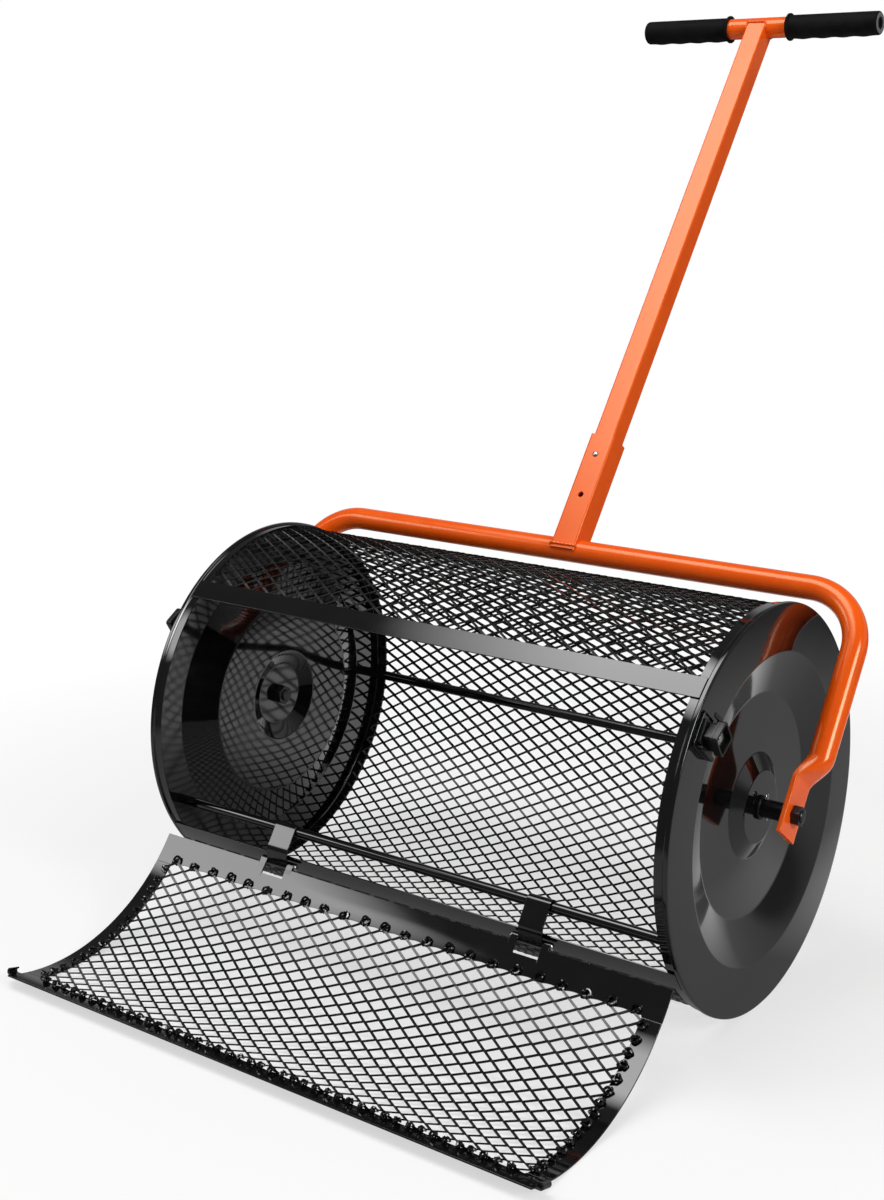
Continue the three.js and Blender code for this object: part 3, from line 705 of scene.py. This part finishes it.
for side, sign in SIDES.items():
    place = at_latch(sign)
    prism(f"{side}_latch_plate", round_box(18, 16.4, 3, middle=(-1, 0)), *LAYERS["plate"], place,
          "drum", enamel, [f"{side}_latch_bracket"])
    prism(f"{side}_latch_lip", round_box(14.5, 2.0, 1.9, middle=(-3.5, 14.5)), *LAYERS["lip"], place,
          "drum", blackened, bevel=0.5)
    prism(f"{side}_latch_seat", round_box(15, 11.5, 2, middle=(-2, 0)), *LAYERS["seat"], place,
          "drum", blackened, hole=round_box(9.8, 9.8, 9))
    turned(f"{side}_latch_stud", STUD, "drum", zinc, 24, place=place)
    for k, tangent in enumerate((-11, 6)):
        turned(f"{side}_latch_rivet_{k}", RIVET, "drum", enamel, 20,
               place=lambda x, y, z, p=place, t=tangent: p(x, y - 14.5, z + t))
    turned(f"{side}_push_ring", PUSH_RING, "drum", zinc, 32, place=place,
           stands_for=[f"{side}_latch_retainer"])
    knob = f"{side}_latch"
    turned(f"{side}_knob_barrel", BARREL, knob, blackened, 48, place=place,
           stands_for=[f"{side}_latch_knob"])
    prism(f"{side}_knob_block", round_box(9.4, 9.4, 2.6, turn_by=KNOB_TURN), *LAYERS["block"], place,
          knob, blackened, hole=BORE, bevel=0.5)
    prism(f"{side}_knob_finger", FINGER, *LAYERS["finger"], place, knob, blackened)
    prism(f"{side}_knob_floor", CUP, *LAYERS["floor"], place, knob, blackened, hole=BORE, bevel=0)
    prism(f"{side}_knob_cup", CUP, *LAYERS["cup"], place, knob, blackened, hole=CUP_INSIDE, bevel=0.6)
print("latches reach", LAYERS["cup"][1], "mm from the middle")

# %% [markdown]
# ## Door frame
# Four strips frame the door. The mesh is hooked over their inner edges. On the two long strips the
# edge is cut away in a shallow scallop between two hooks, so it follows a row of small arcs. The
# hinge strip is also notched where the hinge knuckles swing through it.

# %% Door strips
DOOR_O = (-332.0, 3.4)
DOOR_R, DOOR_SHEET = 194.9, 1.6
DOOR_HALF = 302.0
DOOR_FREE, DOOR_HINGE = -109.5, -35.6
HINGE_STRIP, LATCH_STRIP = 8.8, 7.3
SIDE_STRIP = 20.0
HOOK_PITCH = 25.0
SIDE_HOOKS = 15
NOTCH_HALF = KNUCKLE_HALF + 0.7
SCALLOP, SCALLOP_SHAPE = 0.8, 0.7


def scallop(x):
    """The degrees that the edge is cut away by: none at a hook, most between two hooks."""
    if abs(x) >= DOOR_HALF - SIDE_STRIP:
        return 0
    return SCALLOP * abs(math.sin(math.pi * x / HOOK_PITCH)) ** SCALLOP_SHAPE


def on_door(x, a, lift):
    return around(x, a, DOOR_R + lift, DOOR_O)


def hinge_across(x):
    inner = DOOR_HINGE - HINGE_STRIP
    notch = 3.0 if abs(abs(x) - HINGE_X) < NOTCH_HALF else 0.0
    return [inner + scallop(x)] + spread(inner + 1.2, DOOR_HINGE - 3.1, 3) + [DOOR_HINGE - notch]


def latch_across(x):
    inner = DOOR_FREE + LATCH_STRIP
    return spread(DOOR_FREE, inner - 1.2, 4) + [inner - scallop(x)]


steps_across = spread(-DOOR_HALF, DOOR_HALF, 604)
notch_edges = [s * (HINGE_X + k * NOTCH_HALF) + e
               for s in (-1, 1) for k in (-1, 1) for e in (-0.01, 0.01)]
hinge_stations = sorted(steps_across + notch_edges)
band("door_hinge_band", hinge_stations, hinge_across, on_door, DOOR_SHEET, "door",
     ["door_hinge_strip"])
band("door_latch_band", steps_across, latch_across, on_door, DOOR_SHEET, "door",
     ["door_latch_strip"])

SIDE_FROM, SIDE_TO = DOOR_FREE + LATCH_STRIP + 0.1, DOOR_HINGE - HINGE_STRIP - 0.1
SIDE_STEP = (SIDE_TO - SIDE_FROM) / SIDE_HOOKS
for side, sign in SIDES.items():
    across_side = [sign * x for x in spread(DOOR_HALF - SIDE_STRIP, DOOR_HALF, 4)]
    band(f"{side}_door_side_band", spread(SIDE_FROM, SIDE_TO, 90), lambda a, ring=across_side: ring,
         lambda a, x, lift: on_door(x, a, lift), DOOR_SHEET, "door", [f"{side}_door_side_strip"])
print("door strips:", len(hinge_stations), "stations")

# %% [markdown]
# ## Door eyes and ears
# Beside each knuckle the hinge strip is rolled into two eyes round the same pin. At the free edge a
# tab runs on past each end of the strip, turns in over the cap's face and curls out, so that the
# latch's finger can hold it.

# %% Eyes and ears
EAR_ARC = (-107.9, -104.4)
EAR_R, EAR_CURL = 195.7, 2.6
EYE_WIDTH, EYE_GAP = 8.0, 0.3
eye_line = arc_line(*DOOR_O, DOOR_R + 0.8, DOOR_HINGE - 1.2, DOOR_HINGE + 0.5, 3)
eye_line += arc_line(PIVOT_Y, PIVOT_Z, KNUCKLE_R, 148, -150, 24)
ear_line = [Vector((296, EAR_R)), Vector((305, EAR_R))]
ear_line += [Vector((306.2 + EAR_CURL * math.sin(t), EAR_R - EAR_CURL * (1 - math.cos(t))))
             for t in spread(0, 3.3, 14)]
for side, sign in SIDES.items():
    for k, start in enumerate((sign * HINGE_X + KNUCKLE_HALF + EYE_GAP,
                               sign * HINGE_X - KNUCKLE_HALF - EYE_GAP - EYE_WIDTH)):
        curl(f"{side}_door_eye_{k}", eye_line, CURL_SHEET, across_drum, start, start + EYE_WIDTH,
             "door", enamel)
for side, sign in SIDES.items():
    curl(f"{side}_door_ear", ear_line, DOOR_SHEET,
         lambda a, p, s=sign: around(s * p.x, a, p.y, DOOR_O), *EAR_ARC, "door", enamel)
print("eye and ear points:", len(eye_line), len(ear_line))

# %% [markdown]
# ## Door mesh
# The same diamonds fill the door. The sheet reaches a little under the strips on all four sides, and
# it lies just inside them.

# %% Door mesh
MESH_FREE, MESH_HINGE = DOOR_FREE + LATCH_STRIP - 0.9, DOOR_HINGE - HINGE_STRIP + 0.9
MESH_HALF = DOOR_HALF - SIDE_STRIP + 3.0
DOOR_MESH_R = 194.3
DOOR_COLUMNS, DOOR_ROWS = 23, 14
door_mesh = diamonds("door_mesh_sheet", DOOR_MESH_R, (MESH_FREE, MESH_HINGE), MESH_HALF,
                     DOOR_COLUMNS, DOOR_ROWS, "door", ["door_mesh_1", "door_mesh_2"], DOOR_O)
print("door mesh:", len(door_mesh.data.polygons), "faces")

# %% [markdown]
# ## Hooked ends
# Along the strips each cut strand is bent over the strip's edge and twisted, which leaves a row of
# small bright nuggets. Each is a thin closed bar whose line wanders round a spot. The wandering
# shifts with the nugget's number, so no two neighbours look the same.

# %% Hooked ends
WIRE_R = 1.25


def knots(name, spots, size):
    """Strand ends, each curled into a small knot. A spot is its x, its angle and its heading."""
    points, faces = [], []
    for number, (x, a, heading) in enumerate(spots):
        phase = 1.7 * number
        path = []
        for t in spread(0, 2 * math.pi, 16)[:-1]:
            along = size * (math.sin(t) + 0.30 * math.sin(2 * t + phase))
            aside = size * 0.72 * (math.cos(t) + 0.45 * math.cos(2 * t + phase))
            dx = along * math.cos(heading) - aside * math.sin(heading)
            da = math.degrees((along * math.sin(heading) + aside * math.cos(heading)) / DOOR_R)
            path.append(on_door(x + dx, a + da, -2.3 - 1.1 * math.sin(3 * t + phase)))
        knot_points, knot_faces = round_bar(path, WIRE_R, 6, closed=True)
        faces += [tuple(len(points) + v for v in face) for face in knot_faces]
        points += knot_points
    return piece(name, points, faces, "door", enamel, angle=45)


hinge_row = [(HOOK_PITCH * k, DOOR_HINGE - HINGE_STRIP + 1.3, 1.0) for k in range(-11, 12)]
knots("hinge_strip_knots", hinge_row, 4.1)
latch_row = [(HOOK_PITCH / 2 * (k + 0.5), DOOR_FREE + LATCH_STRIP - 1.0, 1.9) for k in range(-22, 22)]
knots("latch_strip_knots", latch_row, 3.3)
for side, sign in SIDES.items():
    side_row = [(sign * (DOOR_HALF - SIDE_STRIP + 2.8), SIDE_FROM + SIDE_STEP * (k + 0.5), 0.35 * sign)
                for k in range(SIDE_HOOKS)]
    knots(f"{side}_side_knots", side_row, 3.6)
print("hooked ends:", len(hinge_row) + len(latch_row) + 2 * SIDE_HOOKS)

# %% [markdown]
# ## Yoke
# One 25 mm tube makes the whole yoke. Its ends are pressed flat, so the section has to change from
# a circle to a flat plate of the same girth while the line bends inwards. `yoke_ring` gives that
# section, and the rings are joined from one plate, over the drum, to the other.

# %% Yoke tube
TUBE_R = 12.5
ARM_X, YOKE_R, YOKE_BEND = 341.6, 226.2, 60.0
PLATE_WIDTH, PLATE_REACH = 38.0, 22.5
PLATE_TOP, FLATTENING = 30.0, 29.0
YOKE_SIDES, FLAT_POWER = 48, 0.16


def yoke_ring(x, up, towards_x, towards_up, flatness):
    half_width = TUBE_R + (PLATE_WIDTH / 2 - TUBE_R) * flatness
    half_depth = TUBE_R + (PLATE_HALF - TUBE_R) * flatness
    power = 1 + (FLAT_POWER - 1) * flatness
    ring = []
    for k in range(YOKE_SIDES):
        a = 2 * math.pi * (k + 0.5) / YOKE_SIDES
        across = math.copysign(abs(math.cos(a)) ** power, math.cos(a)) * half_width
        deep = math.copysign(abs(math.sin(a)) ** power, math.sin(a)) * half_depth
        ring.append((x + deep * towards_up, across, up - deep * towards_x))
    return ring


def yoke_half():
    rings = [yoke_ring(PLATE_X, up, 0, 1, 1) for up in (-PLATE_REACH, PLATE_TOP)]
    for t in spread(0, 1, 12)[1:]:
        ease = t * t * (3 - 2 * t)
        lean = math.atan(6 * t * (1 - t) * (ARM_X - PLATE_X) / FLATTENING)
        x = PLATE_X + (ARM_X - PLATE_X) * ease
        rings.append(yoke_ring(x, PLATE_TOP + FLATTENING * t, math.sin(lean), math.cos(lean), 1 - ease))
    for a in spread(0, math.pi / 2, 20):
        x = ARM_X - YOKE_BEND * (1 - math.cos(a))
        up = YOKE_R - YOKE_BEND * (1 - math.sin(a))
        rings.append(yoke_ring(x, up, -math.sin(a), math.cos(a), 0))
    return rings


half_rings = yoke_half()
rings = half_rings + [[(-x, y, z) for x, y, z in ring] for ring in reversed(half_rings)]
points = [upright(*p) for ring in rings for p in ring]
yoke = piece("bent_yoke", points, ring_faces(len(rings), YOKE_SIDES), "handle", orange, ["yoke_tube"],
             angle=40)
print("yoke:", len(rings), "rings")

# %% [markdown]
# ## Drilled holes
# The yoke's plates are drilled for the axle, and the square tubes are cut to fit the round ones. A
# Boolean takes a plain rod away from the piece. It leaves many corners round each hole, which would
# bend the shading of the flat faces, so the normals are weighted by the size of the faces.

# %% Drilled holes
def rod(start, end, radius, sides=48):
    return bar("drill", [start, end], radius, "handle", blackened, sides=sides)


def drill(obj, *rods):
    """Cuts the rods out of a piece for good, and removes them."""
    for tool in rods:
        cut = obj.modifiers.new("bore", "BOOLEAN")
        cut.operation = "DIFFERENCE"
        cut.object = tool
        cut.solver = "EXACT"
    bpy.context.view_layer.update()
    solid = obj.evaluated_get(bpy.context.evaluated_depsgraph_get())
    mesh = bpy.data.meshes.new_from_object(solid)
    obj.modifiers.clear()
    obj.data = mesh
    mesh.shade_smooth()
    mesh.set_sharp_from_angle(angle=math.radians(SHARP_DEGREES))
    for tool in rods:
        bpy.data.objects.remove(tool)
    flats = obj.modifiers.new("flats", "WEIGHTED_NORMAL")
    flats.keep_sharp = True


drill(yoke, rod(upright(-360, 0, 0), upright(360, 0, 0), NECK_R + 0.5))
print("drilled yoke:", len(yoke.data.polygons), "faces")

# %% [markdown]
# ## Pole, socket and handlebar
# The square pole slides into a short square socket that is welded to the crossbar, and a spring
# button locks it. The tubes are outlines with round corners and a bore, cut to the shape of the
# round tube that they meet. A wavy bead of weld runs round each joint.

# %% Square tubes
SOCKET_HALF, SOCKET_TOP = 15.0, 362.0
POLE_HALF, POLE_BOTTOM = 12.5, 245.0
BAR_S, BAR_HALF = 943.0, 152.8
BUTTON_S, SPARE_S, BUTTON_HOLE_R = 337.0, 287.0, 3.4
BEAD_R, BEAD_STEP = 1.5, 0.9


def square_tube(name, half, wall, low, high, corner, stands_for):
    outer = round_box(half, half, corner)
    inner = round_box(half - wall, half - wall, corner - wall * 0.6)
    return prism(name, outer, low, high, lambda up, a, b: upright(a, b, up), "handle", orange,
                 stands_for, bevel=0, hole=inner)


def fit(tube, crossing):
    """Cuts away the round tube that crosses at this height, and the two holes for the button."""
    holes = [rod(upright(0, -SOCKET_HALF - 5, up), upright(0, -5, up), BUTTON_HOLE_R, sides=32)
             for up in (BUTTON_S, SPARE_S)]
    drill(tube, rod(upright(-60, 0, crossing), upright(60, 0, crossing), TUBE_R - 0.2), *holes)


def on_bar(x, y, z):
    return upright(x, y, BAR_S + z)


socket = square_tube("square_socket", SOCKET_HALF, 2.0, YOKE_R - 4, SOCKET_TOP, 2.6, ["pole_socket"])
fit(socket, YOKE_R)
pole = square_tube("square_pole", POLE_HALF, 1.5, POLE_BOTTOM, BAR_S, 2.3, ["pole"])
fit(pole, BAR_S)
print("pole:", BAR_S - POLE_BOTTOM, "mm long,", len(pole.data.polygons), "faces")

HANDLEBAR = [
    (TUBE_R - 2, -BAR_HALF, 0.3), (TUBE_R, -BAR_HALF, 0.5),
    (TUBE_R, BAR_HALF, 0.5), (TUBE_R - 2, BAR_HALF, 0.3),
]
turned("round_handlebar", HANDLEBAR, "handle", orange, 64, place=on_bar, stands_for=["handlebar"])


def weld(name, half, up, sign):
    """A bead that follows a square tube's outline over the round tube that it meets."""
    path = []
    for p in round_box(half + 0.4, half + 0.4, 2.6, steps=5):
        drop = math.sqrt(max(TUBE_R ** 2 - p.y ** 2, 0))
        path.append(upright(p.x, p.y, up + sign * (drop + 0.3)))
    fine = []
    for here, after in zip(path, path[1:] + path[:1]):
        steps = max(1, int((after - here).length / (BEAD_STEP * MM)))
        fine += [here.lerp(after, t / steps) for t in range(steps)]
    bar(name, fine, BEAD_R, "handle", orange, sides=10, closed=True,
        swell=lambda t: 1 + 0.16 * math.sin(t * 150))


weld("crossbar_weld", SOCKET_HALF, YOKE_R, 1)
weld("handlebar_weld", POLE_HALF, BAR_S, -1)

# %% [markdown]
# ## Spring button
# The button is a domed pin on the free leg of a small V spring inside the pole. It comes out
# through both tubes, so only its bright dome shows.

# %% Spring button
DOME = [(0, 9.6, 0), (5, 9.6, 0.3), (5, 10.7, 0.3), (3, 10.7, 0), (3, 16.2, 1.2), (0, 17.4, 0)]
turned("button_dome", DOME, "button", zinc, 32,
       place=lambda x, y, z: upright(y, -x, BUTTON_S + z), stands_for=["snap_button"])
spring_line = [Vector(p) for p in ((-10.1, BUTTON_S + 5), (-10.1, BUTTON_S - 18), (-4, BUTTON_S - 34))]
spring_line += [Vector((-2 + 2.2 * math.cos(a), BUTTON_S - 35 + 2.2 * math.sin(a)))
                for a in spread(-2.6, -0.5, 6)]
spring_line += [Vector((6.4, BUTTON_S - 16))]
curl("button_spring", spring_line, 0.9, lambda x, p: upright(x, p.x, p.y), -4, 4, "button", zinc)
print("the dome stands", round(DOME[-1][1] - SOCKET_HALF, 1), "mm out of the socket")

# %% [markdown]
# ## Grips
# Each grip is a soft sleeve with a thumb flange at its inner end and four shallow finger waves on
# its underside. It is lofted ring by ring, because the waves swell only the lower half. Its outer
# end is open: a pale cut ring of rubber lies round the rim, its paleness partly a painted highlight,
# and a dark plug closes the tube inside.

# %% Grips
GRIP_FROM, GRIP_TO = 38.6, 153.1
WAVES, WAVE_STEPS, WAVE_DEPTH = 4, 12, 0.7
GRIP_SIDES = 48


def grip(side, sign):
    body_from = GRIP_FROM + 6
    outline = [(GRIP_FROM, 12.8, 0), (GRIP_FROM, 15.6, 0), (GRIP_FROM + 0.6, 16.5, 0),
               (GRIP_FROM + 1.9, 16.5, 0), (GRIP_FROM + 2.7, 15.6, 0), (GRIP_FROM + 3.6, 14.4, 0)]
    wave = (GRIP_TO - body_from - 6) / WAVES
    for i in range(WAVES * WAVE_STEPS + 1):
        swell = WAVE_DEPTH - WAVE_DEPTH * math.cos(i / WAVE_STEPS * 2 * math.pi)
        outline.append((body_from + i * wave / WAVE_STEPS, 14.1, swell))
    outline += [(GRIP_TO - 1.4, 14.0, 0), (GRIP_TO - 0.2, 13.5, 0), (GRIP_TO + 0.5, 12.4, 0),
                (GRIP_TO + 0.7, 9.2, 0), (GRIP_TO + 0.3, 8.8, 0), (GRIP_TO + 0.3, 5.4, 0),
                (GRIP_TO + 0.6, 5.0, 0), (GRIP_TO + 0.5, 4.2, 0), (GRIP_TO - 0.2, 4.0, 0),
                (GRIP_TO - 0.2, 12.8, 0)]
    points = []
    for x, r, swell in outline:
        for k in range(GRIP_SIDES):
            a = 2 * math.pi * k / GRIP_SIDES
            reach = r + swell * max(0.0, -math.sin(a)) ** 1.5
            points.append(on_bar(sign * x, reach * math.cos(a), reach * math.sin(a)))
    faces = ring_faces(len(outline), GRIP_SIDES, closed=True)
    piece(f"{side}_rubber_sleeve", points, faces, "handle", rubber, [f"{side}_grip"], angle=50)


PLUG_FROM, PLUG_TO, PLUG_R = BAR_HALF - 9, BAR_HALF - 0.4, 10.2
PLUG = [(0, PLUG_FROM, 0), (PLUG_R, PLUG_FROM, 0.5), (PLUG_R, PLUG_TO, 0.4), (0, PLUG_TO, 0)]
RING_FROM, RING_TO = GRIP_TO - 0.4, GRIP_TO + 0.9
END_RING = [(7.4, RING_FROM, 0), (12.3, RING_FROM, 0), (12.3, RING_TO, 0.5), (7.4, RING_TO, 0.4)]
for side, sign in SIDES.items():
    grip(side, sign)
    turned(f"{side}_grip_plug", PLUG, "handle", rubber, GRIP_SIDES, sign, on_bar)
    # The end ring's pale colour is partly a painted highlight.
    turned(f"{side}_grip_end_ring", END_RING, "handle", cut_rubber_painted_highlight, GRIP_SIDES, sign, on_bar)
print("over the grips", round(2 * RING_TO, 1), "mm")

# %% [markdown]
# ## Floor
# The photograph's background is plain white. The floor is pale near the machine and keeps the soft
# shadow. Further away its own colour is painted dark, as painted shade for the enamel to mirror.
# Where the camera or a glass sees it, part of it glows by itself, and all of it does further away,
# so that it fades into the white world without more light on the machine. A mirror sees that glow
# at full strength only behind the drum, within its width, and much weaker elsewhere.

# %% Floor
FLOOR_HALF = 30
WHITE = (1, 1, 1, 1)
floor_mesh = bpy.data.meshes.new("studio_floor")
corners = [(x * FLOOR_HALF, y * FLOOR_HALF, 0) for x, y in ((-1, -1), (1, -1), (1, 1), (-1, 1))]
floor_mesh.from_pydata(corners, [], [(0, 1, 2, 3)])
floor = bpy.data.objects.new("studio_floor", floor_mesh)
bpy.context.scene.collection.objects.link(floor)

white = Finish("studio_white", Roughness=0.9)
away = white.node("ShaderNodeVectorMath", {"operation": "LENGTH"}, {0: white.place}, 1)
aside = white.node("ShaderNodeMath", {"operation": "ABSOLUTE"}, {0: white.coordinate(0)})
behind = (1 - white.between(aside, 0.34, 0.44)) * white.between(white.coordinate(1), 0.0, 0.2)
fade = white.between(away, 0.55, 1.05)
# Far from the machine the floor's own colour is painted dark, as painted shade for the enamel to
# mirror, and mirrors see less glow there.
far_painted_shade = white.between(away, 1.0, 1.45)
white.paint(far_painted_shade, (0.86, 0.86, 0.86), (0.12, 0.12, 0.12))


def ray(nodes, kind):
    return nodes.node("ShaderNodeLightPath", {}, {}, kind)


direct = ray(white, "Is Camera Ray") + ray(white, "Is Transmission Ray")
mirrored = ray(white, "Is Glossy Ray")
glow = white.node("ShaderNodeEmission", {}, {
    "Color": WHITE, "Strength": direct + mirrored * (0.24 + 0.76 * behind - 0.14 * far_painted_shade)})
blend = white.node("ShaderNodeMixShader", {}, {
    0: direct * (0.62 + 0.38 * fade) + mirrored * 0.8,
    1: Wire(white, white.shader.outputs[0]), 2: glow})
white.feed(white.tree.nodes["Material Output"].inputs["Surface"], blend)
floor_mesh.materials.append(white.material)
print("floor nodes:", len(white.tree.nodes))

# %% [markdown]
# ## World
# The world is white where the camera sees it. In a mirror it is nearly dark, with one paler band low
# behind the machine, and as a light it is weak, so that the lamps shape the machine.

# %% World
class Sky(Finish):
    """The world's nodes, written in the same way as a finish."""

    def __init__(self, name):
        world = bpy.data.worlds.new(name)
        bpy.context.scene.world = world
        world.use_nodes = True
        self.tree = world.node_tree
        self.place = self.node("ShaderNodeTexCoord", {}, {}, "Generated")


sky = Sky("studio")
height = sky.coordinate(2)
belt = sky.between(height, 0.03, 0.12) * (1 - sky.between(height, 0.35, 0.5))
backdrop = sky.between(sky.coordinate(1), 0.0, 0.5) * belt
shown = ray(sky, "Is Camera Ray") + ray(sky, "Is Transmission Ray")
glossy = ray(sky, "Is Glossy Ray")
sky.feed(sky.tree.nodes["World Output"].inputs["Surface"], sky.node("ShaderNodeBackground", {}, {
    "Color": WHITE,
    "Strength": shown + glossy * (0.1 + 0.4 * backdrop) + (1 - shown - glossy) * 0.19}))
print("world nodes:", len(sky.tree.nodes))

# %% [markdown]
# ## Lamps
# Three softboxes light the machine: a wide one overhead, a small one in front on the left and a tall
# one on the right. A real softbox is brightest in the middle of its cloth. The lamp's own nodes do
# the same here, so that every reflection on the enamel fades at its ends instead of stopping.

# %% Lamps
CLOTH_EDGE = 0.19


class Cloth(Finish):
    """A softbox's front cloth: even in the middle, fading towards its four edges."""

    def __init__(self, data):
        data.use_nodes = True
        self.tree = data.node_tree
        self.place = self.node("ShaderNodeNewGeometry", {}, {}, "Parametric")
        shares = [self.coordinate(axis) for axis in (0, 1)]
        fades = [self.between(share * (1 - share), 0.0, CLOTH_EDGE) for share in shares]
        self.feed(self.tree.nodes["Emission"].inputs["Color"], fades[0] * fades[1])


def lamp(name, place, aim, size, power):
    data = bpy.data.lights.new(name, "AREA")
    data.shape = "RECTANGLE"
    data.size, data.size_y = size
    data.energy = power
    Cloth(data)
    obj = bpy.data.objects.new(name, data)
    bpy.context.scene.collection.objects.link(obj)
    obj.location = place
    obj.rotation_euler = (Vector(aim) - Vector(place)).to_track_quat("-Z", "Y").to_euler()
    print(name, power, "W")


lamp("top_softbox", (-0.55, -0.55, 2.9), (-0.55, -0.1, 0.4), (2.8, 2.1), 97)
lamp("key_softbox", (-2.3, -1.87, 1.94), (0, -0.2, 0.2), (1.2, 1.4), 22)
lamp("side_softbox", (3.0, -0.6, 1.6), (0, 0, 0.4), (1.3, 1.8), 91)

bpy.context.scene.view_settings.view_transform = "Standard"
